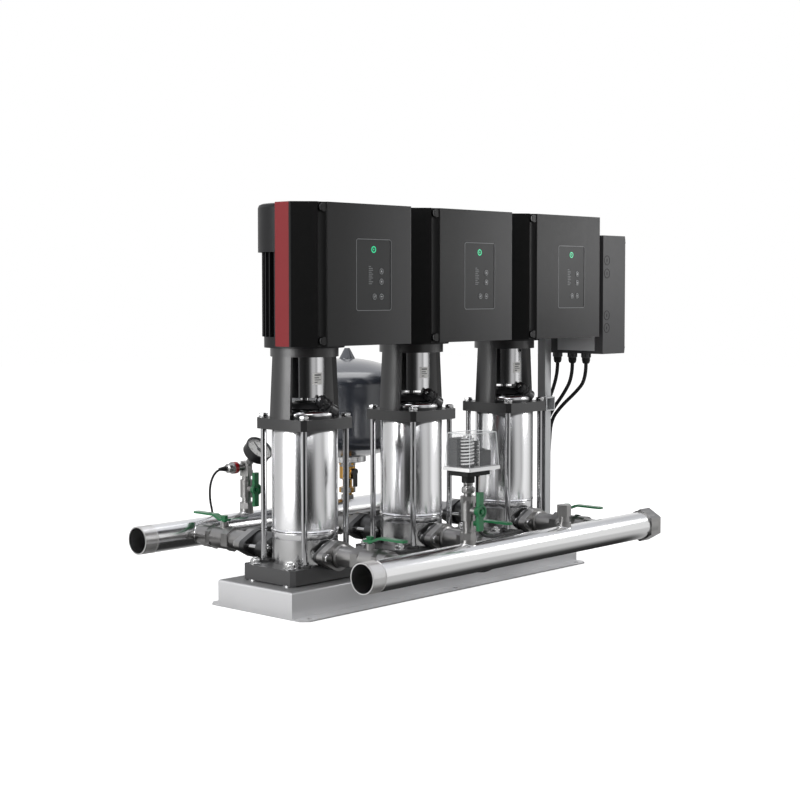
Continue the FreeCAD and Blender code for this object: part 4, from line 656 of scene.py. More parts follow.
def polygon(sides: int, across_flats: float, turn: float = 0.0) -> np.ndarray:
    """Outlines a regular polygon: corners at half the size across flats over cos(pi / sides).

    Args:
        sides: how many sides.
        across_flats: size across flats.
        turn: turn in degrees.

    Returns:
        The outline round the origin, shape (sides, 2).
    """
    corner = across_flats / 2 / math.cos(math.pi / sides)
    angles = np.radians(turn) + TURN * (np.arange(sides) + 0.5) / sides
    return np.column_stack([corner * np.cos(angles), corner * np.sin(angles)])


def block(x0: float, x1: float, y0: float, y1: float, z0: float, z1: float) -> Form:
    """Makes a box between two corners."""
    return slab(np.array([(x0, y0), (x1, y0), (x1, y1), (x0, y1)], float), z0, z1)


def nut(across_flats: float, low: float, high: float, turn: float = 0.0) -> Form:
    """Makes a hexagon with its corners rounded off at both ends, as on a real nut.

    Args:
        across_flats: size of the spanner.
        low: lower face.
        high: upper face.
        turn: turn of the hexagon in degrees.

    Returns:
        The nut. Its radius is that of the hexagon, limited by a cone at each end.
    """
    angles = steps_round(48)
    flat = across_flats / 2 / np.cos((angles - math.radians(turn) + math.pi / 6) % (math.pi / 3) - math.pi / 6)
    step = 0.05 * across_flats
    levels = np.array([low, low + step, low + 2 * step, high - 2 * step, high - step, high])[:, None]
    limits = across_flats * np.array([0.48, 0.535, 0.6, 0.6, 0.535, 0.48])[:, None]
    r = np.minimum(flat, limits)
    return capped(np.stack([r * np.cos(angles), r * np.sin(angles), levels + 0 * angles], axis=2))


def bolt(radius: float, across_flats: float, length: float, head: float, nut_at: float) -> Form:
    """Makes a bolt along Z with its head at the start and its nut run up.

    Args:
        radius: of the shank.
        across_flats: size of the spanner.
        length: from the head's outer face to the tip.
        head: height of the head and of the nut.
        nut_at: where the nut starts.

    Returns:
        Shank, head and nut.
    """
    shank = disc(radius, head - 0.5, length, 28, 0.8)
    return joined([shank, nut(across_flats, 0, head), nut(across_flats, nut_at, nut_at + head)])


def tube(path: np.ndarray, radius: Union[float, np.ndarray], sides: int = 12, closed: bool = False) -> Form:
    """Sweeps a circle along a path: each point plus r cos a to the side and r sin a upwards.

    Args:
        path: points of the centre line, shape (n, 3).
        radius: radius of the circle, one value or one per point.
        sides: points round the circle.
        closed: whether the path closes on itself.

    Returns:
        The swept form, with flat ends when the path is open.
    """
    path = np.asarray(path, float)
    ahead = np.roll(path, -1, axis=0) - np.roll(path, 1, axis=0) if closed else np.gradient(path, axis=0)
    ahead /= np.linalg.norm(ahead, axis=1)[:, None]
    side = np.cross(ahead, np.array([0.13, 0.21, 0.97]))
    side /= np.linalg.norm(side, axis=1)[:, None]
    up = np.cross(side, ahead)
    angles = steps_round(sides)[None, :, None]
    radii = np.broadcast_to(np.asarray(radius, float), (len(path),))[:, None, None]
    grid = path[:, None] + radii * (side[:, None] * np.cos(angles) + up[:, None] * np.sin(angles))
    if closed:
        return Form(grid.reshape(-1, 3), grid_faces(len(path), sides, True, True))
    return capped(grid)


def thread(radius: float, pitch: float, length: float, depth: float, steps: int = 40, rows_per_turn: int = 8) -> Form:
    """Makes the ridged surface of an outside thread along Z: r falls with the distance from a helix.

    Args:
        radius: crest radius.
        pitch: distance between ridges.
        length: threaded length.
        depth: depth of the grooves.
        steps: points round the turn.
        rows_per_turn: rows of points for one pitch.

    Returns:
        An open sleeve with a helical ridge that fades out at both ends.
    """
    rows = int(length / pitch * rows_per_turn) + 1
    z = np.linspace(0, length, rows)[:, None]
    angles = steps_round(steps)[None, :]
    phase = (z / pitch - angles / TURN) % 1.0
    fade = np.clip(np.minimum(z, length - z) / pitch, 0, 1)
    r = radius - depth * np.abs(2 * phase - 1) * fade
    grid = np.stack([r * np.cos(angles), r * np.sin(angles), z + 0 * angles], axis=2)
    return Form(grid.reshape(-1, 3), grid_faces(rows, steps, True))


def coil(radius: float, wire: float, low: float, high: float, turns: float) -> Form:
    """Makes a coil spring round Z: a tube along r cos a, r sin a, with z growing with a.

    Args:
        radius: of the wire's centre line.
        wire: radius of the wire.
        low: where it starts.
        high: where it ends.
        turns: how many turns.

    Returns:
        The spring.
    """
    t = np.linspace(0, 1, int(turns * 24) + 1)
    a = TURN * turns * t
    path = np.column_stack([radius * np.cos(a), radius * np.sin(a), low + (high - low) * t])
    return tube(path, wire, 8)


def at_pumps(form: Form) -> Form:
    """Returns a form with one copy of the given form at each pump."""
    return joined([form.moved(x=x) for x in ROW])


def at_corners(form: Form, x: float, y: float) -> Form:
    """Returns one copy of a form at each corner of a rectangle."""
    return joined([form.moved(sx * x, sy * y) for sx in (-1, 1) for sy in (-1, 1)])


class Workshop:
    """Turns forms into finished pieces that ride on the bodies of the frame."""

    def __init__(self, finisher: Finisher) -> None:
        """Keeps the maker of materials.

        Args:
            finisher: hands out the materials.
        """
        self.finisher = finisher
        self.made: list[bpy.types.Object] = []

    def piece(self, name: str, form: Form, finish: Finish, slot: Optional[str] = None,
              body: str = "root") -> bpy.types.Object:
        """Makes one piece.

        Args:
            name: the piece's name.
            form: its shape.
            finish: its finish.
            slot: not used.
            body: the body that it rides on.

        Returns:
            The object.
        """
        mesh = bpy.data.meshes.new(name)
        faces = form.quads.tolist() + [cap.tolist() for cap in form.caps]
        mesh.from_pydata((form.points * MM).tolist(), [], faces)
        mesh.validate()
        mesh.shade_smooth()
        mesh.set_sharp_from_angle(angle=math.radians(SHARP_ANGLE))
        mesh.materials.append(self.finisher.material(finish))
        thing = bpy.data.objects.new(name, mesh)
        bpy.context.scene.collection.objects.link(thing)
        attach(thing, body)
        self.made.append(thing)
        return thing


@dataclass
class FrameFinishes:
    """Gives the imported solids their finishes.

    Attributes:
        finisher: hands out the materials.
        special: nodes whose finish is another than that of their slot.
    """

    finisher: Finisher
    # The pump feet take the lighter, painted-light copy of the black iron.
    special: dict[str, Finish] = field(default_factory=lambda: {
        "foot_plates": Finish.LIT_FOOT_IRON, "port_casings": Finish.CAST_CASING, "coupling_guards": Finish.GUARD_STEEL,
        "pressure_switch": Finish.SWITCH_BLOCK, "enclosure_window": Finish.LEAF_GLASS,
        "gauge_pointer": Finish.HANDLE_BLACK})

    def dress(self) -> None:
        """Assigns to each node its own finish, or that of its slot in the record."""
        for part in frame["record"]["subparts"]:
            thing = frame["nodes"][part["node"]]
            finish = self.special.get(part["node"], Finish(part["material_slot"]))
            thing.data.materials.clear()
            thing.data.materials.append(self.finisher.material(finish))


@dataclass
class SubAssembly:
    """Pieces that are made together. Each kind holds its sizes as fields, in millimetres.

    Attributes:
        shop: makes the pieces.
    """

    shop: Workshop

    def build(self) -> None:
        """Makes and dresses the pieces."""
        raise NotImplementedError


@dataclass
class DrivePanels(SubAssembly):
    """The recessed panels, lamps, screws and key signs on the drive boxes.

    Attributes:
        panel_x: middle of a panel, from the pump's axis.
        panel_z: height of its middle.
        panel: its width, height and corner radius.
        rim_gap: from the panel's edge to the line round it.
        rim_line: width of that line.
        floor_y: the plane of the panel's floor.
        lamp_ring: inner and outer radius of the lamp's ring.
        lamp_dot: radius of the dot in it.
        lamp_rise: height of the lamp over the panel's middle.
        bar_widths: widths of the level bars, from the lowest.
        bar_foot: left end and height of the lowest bar.
        bar_pitch: distance between bars.
        bar_height: height of a bar.
        flute_x: the flute that holds the screws, from the pump's axis.
        screw_heights: heights of the screws over the drive's underside.
        screw_ring: inner and outer radius of a screw's head.
        keys: place of each key, from the pump's axis and the drive's underside.
        key_front: the plane of the keys' fronts.
        key_halo: inner and outer radius of the fine ring on each key.
        sign: height of the raised signs.
    """

    panel_x: float = 7.7
    panel_z: float = DRIVE_UNDER + 135.5
    panel: tuple[float, float, float] = (96.0, 136.0, 4.0)
    rim_gap: float = 0.5
    rim_line: float = 1.3
    floor_y: float = DRIVE_FRONT + 1.0
    lamp_ring: tuple[float, float] = (4.4, 6.6)
    lamp_dot: float = 1.6
    lamp_rise: float = 49.0
    bar_widths: tuple[float, ...] = (9, 12, 7, 12, 10, 12, 8, 12, 11, 6)
    bar_foot: tuple[float, float] = (-14.0, -17.0)
    bar_pitch: float = 3.7
    bar_height: float = 1.5
    flute_x: float = -131.0
    screw_heights: tuple[float, ...] = (10.5, 261.2)
    screw_ring: tuple[float, float] = (2.6, 6.2)
    keys: tuple[tuple[float, float], ...] = ((29.0, 142.5), (29.0, 122.5), (9.7, 93.5), (29.0, 93.5))
    key_front: float = DRIVE_FRONT + 0.1
    key_halo: tuple[float, float] = (5.0, 5.5)
    sign: float = 0.12

    def on_front(self, form: Form, x: float, z: float, y: float) -> Form:
        """Lays a form drawn flat in X and Y on the front of a drive, facing forward."""
        p = form.points
        return form.placed(np.column_stack([p[:, 0] + x, y - p[:, 2], p[:, 1] + z]))

    def build(self) -> None:
        """Makes the panels of all three drives."""
        x, z, y = self.panel_x, self.panel_z, self.floor_y
        width, height, corner = self.panel
        gap = self.rim_gap
        self.add("drive_panels", [slab(rounded(width, height, corner), 0, 0.15)], x, z, y, Finish.PANEL_BLACK,
                 "cover_black")
        rim = self.rim(width + 2 * gap, height + 2 * gap, corner + gap, self.rim_line)
        self.add("drive_panel_rims", [rim], x, z, DRIVE_FRONT, Finish.MARK_GREY, "cover_black")
        lamp = [ring(*self.lamp_ring, 0, 0.5, 40, 0.15), disc(self.lamp_dot, 0, 0.5, 20, 0.1)]
        self.add("drive_lamps", lamp, x, z + self.lamp_rise, y, Finish.LAMP_GREEN, "key_grey")
        left, foot = self.bar_foot
        bars = [slab(rounded(w, self.bar_height, 0.5, 2), 0, 0.35).moved(left + w / 2, self.bar_pitch * row + foot)
                for row, w in enumerate(self.bar_widths)]
        self.add("drive_level_bars", bars, x, z, y, Finish.MARK_GREY, "key_grey")
        inner, outer = self.screw_ring
        heads = [ring(inner, outer, -4.4, -2.6, 32, 0.5).moved(0, h) for h in self.screw_heights]
        heads += [disc(inner + 0.1, -4.4, -3.6, 24, 0.1).moved(0, h) for h in self.screw_heights]
        self.add("drive_screws", heads, self.flute_x, DRIVE_UNDER, DRIVE_FRONT, Finish.HANDLE_BLACK, "handle_black")
        self.key_signs()

    def add(self, name: str, forms: list[Form], x: float, z: float, y: float, finish: Finish, slot: str) -> None:
        """Lays flat forms on the fronts of the three drives.

        Args:
            name: the piece's name.
            forms: drawn flat in X and Y, rising along Z.
            x: their place along the drive.
            z: their height.
            y: the plane that they lie on.
            finish: their finish.
            slot: the material slot.
        """
        self.shop.piece(name, at_pumps(self.on_front(joined(forms), x, z, y)), finish, slot)

    def key_signs(self) -> None:
        """Makes a plain sign on each key: up, down, tick and bar. Each rides on its key."""
        top = self.sign
        arrow = slab(np.array([(-2.4, -1.4), (2.4, -1.4), (0, 2.2)]), 0, top)
        bar = slab(rounded(4.6, 1.3, 0.3, 2), 0, top)
        tick = joined([slab(rounded(2.4, 1.0, 0.2, 2), 0, top).rolled(-45).moved(-1.5, -0.5),
                       slab(rounded(4.6, 1.0, 0.2, 2), 0, top).rolled(50).moved(0.8, 0.4)])
        halo = ring(*self.key_halo, 0, 0.1, 40, 0.03)
        for pump, pump_x in enumerate(ROW, 1):
            for k, ((x, rise), sign) in enumerate(zip(self.keys, (arrow, arrow.rolled(180), tick, bar)), 1):
                form = self.on_front(joined([sign, halo]), pump_x + x, DRIVE_UNDER + rise, self.key_front)
                self.shop.piece(f"key_sign_{pump}_{k}", form, Finish.KEY_MARK, "key_grey", f"key_{pump}_{k}")

    def rim(self, width: float, height: float, radius: float, line: float) -> Form:
        """Makes a flat line round a rounded rectangle: a thin section between a larger and a smaller loop.

        Args:
            width: of the line's middle.
            height: of the line's middle.
            radius: corner radius of the line's middle.
            line: width of the line.

        Returns:
            The line as a closed form.
        """
        outer = rounded(width + line, height + line, radius + line / 2)
        inner = rounded(width - line, height - line, radius - line / 2)
        count = len(outer)
        loops = [np.column_stack([edge, np.full(count, level)])
                 for edge, level in ((outer, 0.0), (outer, self.sign), (inner, self.sign), (inner, 0.0))]
        return Form(np.vstack(loops), grid_faces(4, count, True, True))


@dataclass
class PressureGauge(SubAssembly):
    """The dial of the pressure gauge, its marks, its numbers, its glass and its rim.

    Attributes:
        centre: middle of the rim's front.
        lean: sine and cosine of the dial's lean.
        dial_radius: radius of the dial.
        dial_sink: depth of the dial under the rim.
        rim: inner and outer radius of the rim.
        marks: marks round the scale after the first.
        scale: start and sweep of the scale, in degrees.
        mark_radius: outer ends of the marks.
        mark_lengths: length of each tenth mark, of each fifth and of the others.
        mark_widths: width of each tenth mark and of the others.
        figure_radius: where the numbers stand.
        figure_height: size of the numbers.
    """

    centre: Point = (-163.0, 306.7, 284.8)
    lean: float = 0.70711
    dial_radius: float = 29.7
    dial_sink: float = 6.0
    rim: tuple[float, float] = (29.6, 32.0)
    marks: int = 50
    scale: tuple[float, float] = (225.0, 270.0)
    mark_radius: float = 26.6
    mark_lengths: tuple[float, float, float] = (5.2, 4.0, 2.4)
    mark_widths: tuple[float, float] = (1.0, 0.45)
    figure_radius: float = 17.4
    figure_height: float = 6.4

    def faced(self, form: Form, sink: float) -> Form:
        """Lays a form drawn flat in X and Y on the dial, X to the right and Y to the dial's top.

        Args:
            form: the flat form, rising along Z.
            sink: depth of its foot under the rim.

        Returns:
            The form in its place.
        """
        axes = np.array([(1.0, 0, 0), (0, self.lean, self.lean), (0, -self.lean, self.lean)])
        return form.placed(np.array(self.centre) - sink * axes[2] + form.points @ axes)

    def build(self) -> None:
        """Makes dial, marks, numbers, hub, glass and rim."""
        sink = self.dial_sink
        inner, outer = self.rim
        self.shop.piece("gauge_dial", self.faced(disc(self.dial_radius, 0, 0.4, 64, 0.1), sink), Finish.DIAL_WHITE)
        self.shop.piece("gauge_marks", self.faced(self.scale_marks(), sink - 0.4), Finish.HANDLE_BLACK, "handle_black")
        self.shop.piece("gauge_figures", self.faced(self.figures(), sink - 0.52), Finish.HANDLE_BLACK, "handle_black")
        self.shop.piece("gauge_hub", self.faced(disc(3.2, 1.6, 3.0, 32, 0.4), sink), Finish.HANDLE_BLACK,
                        "handle_black", "gauge_pointer")
        self.shop.piece("gauge_glass", self.faced(disc(inner, 0, 0.8, 64, 0.1), 1.6), Finish.CLEAR_COVER)
        self.shop.piece("gauge_rim", self.faced(ring(inner, outer, -3.0, 0.2, 72, 0.5), 0), Finish.HANDLE_BLACK,
                        "handle_black")

    def scale_marks(self) -> Form:
        """Makes the marks of the scale: longer at each fifth, longer and thicker at each tenth.

        Returns:
            The marks, drawn flat.
        """
        start, sweep = self.scale
        forms = []
        for k in range(self.marks + 1):
            long = self.mark_lengths[0 if k % 10 == 0 else 1 if k % 5 == 0 else 2]
            thick = self.mark_widths[0 if k % 10 == 0 else 1]
            mark = slab(rounded(long, thick, 0.1, 1), 0, 0.15).moved(self.mark_radius - long / 2)
            forms.append(mark.rolled(start - sweep * k / self.marks))
        return joined(forms)

    def figures(self) -> Form:
        """Makes the numbers 0 to 10 in steps of two round the dial.

        Returns:
            The numbers, drawn flat.
        """
        start, sweep = self.scale
        forms = []
        for k in range(6):
            a = math.radians(start - sweep / 5 * k)
            curve = bpy.data.curves.new(f"figure_{k}", "FONT")
            curve.body = str(2 * k)
            curve.size = self.figure_height
            curve.align_x = "CENTER"
            curve.align_y = "CENTER"
            curve.resolution_u = 2
            text = bpy.data.objects.new(f"figure_{k}", curve)
            bpy.context.scene.collection.objects.link(text)
            mesh = bpy.data.meshes.new_from_object(text.evaluated_get(bpy.context.evaluated_depsgraph_get()))
            points = np.empty(len(mesh.vertices) * 3)
            mesh.vertices.foreach_get("co", points)
            figure = Form(points.reshape(-1, 3), caps=[np.array(face.vertices) for face in mesh.polygons])
            forms.append(figure.moved(self.figure_radius * math.cos(a), self.figure_radius * math.sin(a)))
            bpy.data.objects.remove(text)
            bpy.data.meshes.remove(mesh)
        return joined(forms)


@dataclass
class DryRunSwitch(SubAssembly):
    """The pressure switch under its clear cover, which replaces its plain solid.

    Attributes:
        stem_x: axis of the stem that carries the switch.
        centre_x: middle of the plate.
        centre_y: middle of the plate.
        stem_foot: underside of the nipple.
        socket: heights of the black socket under the plate.
        plate: heights of the plate.
        plate_size: its width, depth and corner radius.
        blocks: for each block its width, depth, foot and top over the plate, easing, and place.
        block_corner: corner radius of the blocks.
        strip: sides of the metal strip between the blocks, along X and along Y.
        strip_height: its height over the plate.
        contact_x: place of the contacts.
        contacts_y: place of each contact.
        contact: radius of a contact, and its foot and top over the plate.
        spring_place: axis of the setting spring.
        spring_radius: of the spring's centre line.
        spring_wire: radius of its wire.
        spring_turns: how many turns.
        gland_place: axis of the cable gland.
        cover_half: half the width and depth of the cover's foot.
        cover_draft: how far the cover draws in up to its top.
        cover_top: height of the cover.
        edge_radius: radius of the cover's moulded edges.
    """

    stem_x: float = -171.0
    centre_x: float = -160.0
    centre_y: float = -306.0
    stem_foot: float = 231.5
    socket: tuple[float, float] = (272.5, 283.0)
    plate: tuple[float, float] = (283.0, 290.0)
    plate_size: tuple[float, float, float] = (95.0, 70.0, 3.5)
    blocks: tuple[tuple[float, ...], ...] = ((34, 21, 0, 56, 0.6, -181, -289.5), (34, 38, 0, 30, 0.6, -139, -305),
                                             (12, 30, 30, 34, 0.5, -144, -305))
    block_corner: float = 1.5
    strip: tuple[float, float, float, float] = (-162.0, -160.4, -326.0, -284.0)
    strip_height: float = 50.0
    contact_x: float = -130.0
    contacts_y: tuple[float, ...] = (-315.0, -305.0, -295.0)
    contact: tuple[float, float, float] = (3.4, 29.8, 32.6)
    spring_place: tuple[float, float] = (-186.0, -317.0)
    spring_radius: float = 12.0
    spring_wire: float = 1.7
    spring_turns: float = 8
    gland_place: tuple[float, float] = (-136.0, -300.0)
    cover_half: tuple[float, float] = (44.6, 32.1)
    cover_draft: float = 4.2
    cover_top: float = 357.0
    edge_radius: float = 0.7

    def build(self) -> None:
        """Makes stem, plate, block, springs and the edges of the cover."""
        self.outside()
        self.inside()
        self.cover_edges()

    def outside(self) -> None:
        """Makes the nipple, the socket and the plate."""
        x, y, foot = self.centre_x, self.centre_y, self.stem_foot
        nipple = [disc(9.0, foot, foot + 27, 40), nut(24, foot + 6, foot + 18),
                  thread(9.6, 1.8, 7, 0.7, 32, 8).moved(z=foot + 18.5)]
        self.shop.piece("switch_nipple", joined(nipple).moved(self.stem_x, y), Finish.NICKEL)
        low, high = self.socket
        cup = lathe([(0, foot + 26), (13, foot + 26.5), (13, low), (15, low + 0.2), (0, low + 0.3)], 48)
        gland = lathe([(3.2, 266.5), (4.6, 266), (5.0, 268), (5.0, low + 0.1), (0, low + 0.2)], 32)
        black = [cup.moved(self.stem_x, y), slab(rounded(68, 50, 5), low, high, 0.6).moved(x - 4, y + 1),
                 gland.moved(*self.gland_place)]
        socket = self.shop.piece("switch_socket", joined(black), Finish.RUBBER, "handle_black")
        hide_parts("pressure_switch")
        low, high = self.plate
        plate = slab(rounded(*self.plate_size), low, high - 0.02, 0.5).moved(x, y)
        self.shop.piece("switch_plate", plate, Finish.BRIGHT_PLATE, "zinc")

    def inside(self) -> None:
        """Makes what stands on the plate: blocks, spring, core and metal fittings."""
        z = self.plate[1]
        blocks = [slab(rounded(width, depth, self.block_corner), z + foot, z + crown, ease).moved(x, y)
                  for width, depth, foot, crown, ease, x, y in self.blocks]
        self.shop.piece("switch_blocks", joined(blocks), Finish.SWITCH_BLOCK, "handle_black")
        spring = coil(self.spring_radius, self.spring_wire, z + 3.5, z + 55, self.spring_turns)
        self.shop.piece("switch_spring", spring.moved(*self.spring_place), Finish.SPRING_STEEL, "zinc")
        core = joined([disc(5.0, z, z + 58, 28), ring(5.1, 13.5, z + 0.1, z + 2, 32)])
        self.shop.piece("switch_core", core.moved(*self.spring_place), Finish.RUBBER, "handle_black")
        crown = joined([nut(16, z + 56.5, z + 62), ring(5.1, 13.2, z + 55.6, z + 57, 32)])
        metal = [crown.moved(*self.spring_place), block(*self.strip, z, z + self.strip_height)]
        radius, foot, top = self.contact
        metal += [disc(radius, z + foot, z + top, 24).moved(self.contact_x, y) for y in self.contacts_y]
        self.shop.piece("switch_fittings", joined(metal), Finish.ZINC)

    def cover_edges(self) -> None:
        """Makes the thick moulded edges of the clear cover: its four corners and the loop round its top."""
        x, y, z, top = self.centre_x, self.centre_y, self.plate[1], self.cover_top
        wide, deep = self.cover_half
        draft = self.cover_draft
        sides = np.array([(-1, -1), (1, -1), (1, 1), (-1, 1)])
        foot = np.column_stack([(x, y) + sides * (wide, deep), np.full(4, z + 0.8)])
        crown = np.column_stack([(x, y) + sides * (wide - draft, deep - draft), np.full(4, top - 0.9)])
        bars = [tube(np.array([low, high]), self.edge_radius, 8) for low, high in zip(foot, crown)]
        bars.append(tube(crown, self.edge_radius, 8, True))
        self.shop.piece("cover_edges", joined(bars), Finish.CLEAR_EDGE, "clear_cover")


@dataclass
class VentPlugs(SubAssembly):
    """The black vent plugs in the pump heads, with their vent screws. Heights run along the plug.

    Attributes:
        spanner: size of the plug's hexagon, and its lower and upper face.
        knob: outline of the knob.
        ribs: how many grip ribs it has.
        rib_radius: where the ribs stand.
        screw_radius: radius of the vent screw.
    """

    spanner: tuple[float, float, float] = (25.0, 25.0, 34.0)
    knob: Profile = ((0, 33), (11.2, 33.2), (11.8, 34.2), (11.8, 44), (10.2, 46.4), (0, 46.8))
    ribs: int = 18
    rib_radius: float = 12.0
    screw_radius: float = 4.2

    def build(self) -> None:
        """Makes the plugs and their vent screws."""
        rib = slab(rounded(1.6, 1.4, 0.3, 1), 35.0, 44.0).moved(self.rib_radius)
        ribs = [rib.rolled(360 / self.ribs * k) for k in range(self.ribs)]
        plug = joined([nut(*self.spanner), lathe(self.knob, 48)] + ribs).aimed(VENT_START, VENT_DIRECTION)
        self.shop.piece("vent_plugs", at_pumps(plug), Finish.HANDLE_BLACK, "handle_black")
        screw = joined([disc(self.screw_radius, 46.0, 48.4, 32, 0.5), slab(rounded(6.6, 1.1, 0.3, 1), 48.3, 48.7)])
        self.shop.piece("vent_screws", at_pumps(screw.aimed(VENT_START, VENT_DIRECTION)), Finish.ZINC)


@dataclass
class TankValve(SubAssembly):
    """The brass body of the tank's valve, and the tank's ring.

    Attributes:
        x: axis of the tank.
        y: axis of the tank.
        body: outline of the body.
        arm: outline of the arm that carries the lever.
        arm_z: height of the arm.
        spanner: size of the hexagons.
        nuts: heights of the two hexagons.
        ring_radii: inner and outer radius of the ring.
        ring_heights: lower and upper face of the ring.
    """

    x: float = 160.0
    y: float = 352.0
    body: Profile = ((0, 144.9), (11.2, 145.6), (11.2, 151.4), (13, 151.6), (13, 163.6), (11.6, 164), (11.6, 181),
                     (19.2, 186), (19.2, 214), (17, 217), (17, 225.8), (0, 225.9))
    arm: Profile = ((0, 10), (8.2, 10), (8.2, 20.6), (7.4, 21.2), (5.1, 21.2))
    arm_z: float = 202.0
    spanner: float = 35.3
    nuts: tuple[tuple[float, float], ...] = ((151.4, 163.6), (216.9, 225.9))
    ring_radii: tuple[float, float] = (41.8, 45.4)
    ring_heights: tuple[float, float] = (225.8, 243.2)

    def build(self) -> None:
        """Makes the body, its hexagons and the ring."""
        arm = lathe(self.arm, 40).aimed((0, 0, self.arm_z), (0, -1, 0))
        nuts = [slab(polygon(6, self.spanner), low, high, 0.8) for low, high in self.nuts]
        body = joined([lathe(self.body, 56), arm] + nuts).moved(self.x, self.y)
        self.shop.piece("tank_valve_body", body, Finish.BRASS, "brass")
        rim = ring(*self.ring_radii, *self.ring_heights, 72, 1.2)
        self.shop.piece("tank_ring", rim.moved(self.x, self.y), Finish.ZINC)


@dataclass
class CowlGrilles(SubAssembly):
    """The air grilles on the fan cowls.

    Attributes:
        top: upper face of the cowls.
        rows: rings of slots.
        first: radius of the innermost ring.
        pitch: distance between rings.
        fields: slots in a ring, with a spoke between two.
        field_ends: where the first field starts and ends, in degrees.
        field_gap: what the rounded end of a slot takes from that, in degrees times the radius.
        foot_half: half the width of a slot's lip at its foot.
        lip_half: half its width at its top.
        sunk: depth of the lip's foot in the cowl.
        proud: height of its top over the cowl.
    """

    top: float = 806.0
    rows: int = 6
    first: float = 24.0
    pitch: float = 9.5
    fields: int = 8
    field_ends: tuple[float, float] = (5.0, 40.0)
    field_gap: float = 60.0
    foot_half: float = 2.0
    lip_half: float = 1.0
    sunk: float = 0.5
    proud: float = 0.45

    def build(self) -> None:
        """Makes dark slots in rings, each a flat arc r cos a, r sin a between two spokes."""
        start, end = self.field_ends
        slots = []
        for row in range(self.rows):
            r = self.first + self.pitch * row
            turn = np.radians(np.linspace(start + self.field_gap / r, end - self.field_gap / r, 12))
            slots += [self.arc(r, turn + TURN / self.fields * k) for k in range(self.fields)]
        self.shop.piece("cowl_slots", at_pumps(joined(slots)), Finish.RUBBER, "motor_black")

    def arc(self, radius: float, turn: np.ndarray) -> Form:
        """Makes the lip of one slot: four lines x = r cos a, y = r sin a, two at its foot and two at its top.

        Args:
            radius: middle of the arc.
            turn: angles along the arc.

        Returns:
            The lip.
        """
        foot, lip, low, high = self.foot_half, self.lip_half, self.top - self.sunk, self.top + self.proud
        edges = ((radius - foot, low), (radius + foot, low), (radius + lip, high), (radius - lip, high))
        lines = [np.column_stack([r * np.cos(turn), r * np.sin(turn), np.full(len(turn), z)]) for r, z in edges]
        return capped(np.stack(lines, axis=1))


@dataclass
class EnclosureDetails(SubAssembly):
    """Knockouts, lid screws and gland ribs of the control enclosure.

    Attributes:
        side_y: the plane of the side that holds the knockouts.
        knockout_x: their place along that side.
        knockouts: their heights.
        knockout_ring: inner and outer radius of each.
        lid_x: the plane of the lid.
        screw_y: places of the lid screws across the lid.
        screw_z: their heights.
        screw_ring: inner and outer radius of a screw's head.
        gland_x: place of the glands.
        glands_y: place of each gland.
        gland_z: underside of the gland ribs.
        gland_ribs: ribs round each gland.
        gland_cone: outline of the cone under each gland.
    """

    side_y: float = -185.0
    knockout_x: float = 465.0
    knockouts: tuple[float, ...] = (703.0, 673.0, 577.0, 548.0)
    knockout_ring: tuple[float, float] = (9.6, 11.2)
    lid_x: float = 549.6
    screw_y: tuple[float, float] = (-173.0, -48.0)
    screw_z: tuple[float, float] = (502.0, 746.0)
    screw_ring: tuple[float, float] = (2.2, 4.6)
    gland_x: float = 457.0
    glands_y: tuple[float, ...] = (-51.0, -94.0, -133.0)
    gland_z: float = 479.4
    gland_ribs: int = 12
    gland_cone: Profile = ((6.2, 464.6), (8.4, 467), (9.4, 472), (9.6, 479))

    def build(self) -> None:
        """Makes the knockouts, the lid screws and the gland ribs."""
        slot = joined([ring(*self.knockout_ring, 0, 0.4, 40, 0.15), slab(rounded(2.6, 7.0, 1.2), 0, 0.4)])
        slots = [slot.aimed((self.knockout_x, self.side_y + 0.1, z), (0, -1, 0)) for z in self.knockouts]
        self.shop.piece("enclosure_knockouts", joined(slots), Finish.RUBBER, "enclosure_grey")
        inner, outer = self.screw_ring
        head = joined([ring(inner, outer, -0.5, 0.9, 28), disc(inner, -0.5, 0.2, 20)])
        screws = [head.aimed((self.lid_x, y, z), (1, 0, 0)) for y in self.screw_y for z in self.screw_z]
        self.shop.piece("enclosure_screws", joined(screws), Finish.ZINC)
        rib = slab(rounded(2.0, 1.0, 0.3, 1), 0, 8.2).moved(9.9)
        ribs = []
        for y in self.glands_y:
            ribs += [rib.rolled(360 / self.gland_ribs * k).moved(self.gland_x, y, self.gland_z)
                     for k in range(self.gland_ribs)]
            ribs.append(lathe(self.gland_cone, 32).moved(self.gland_x, y))
        self.shop.piece("gland_ribs", joined(ribs), Finish.RUBBER, "handle_black")


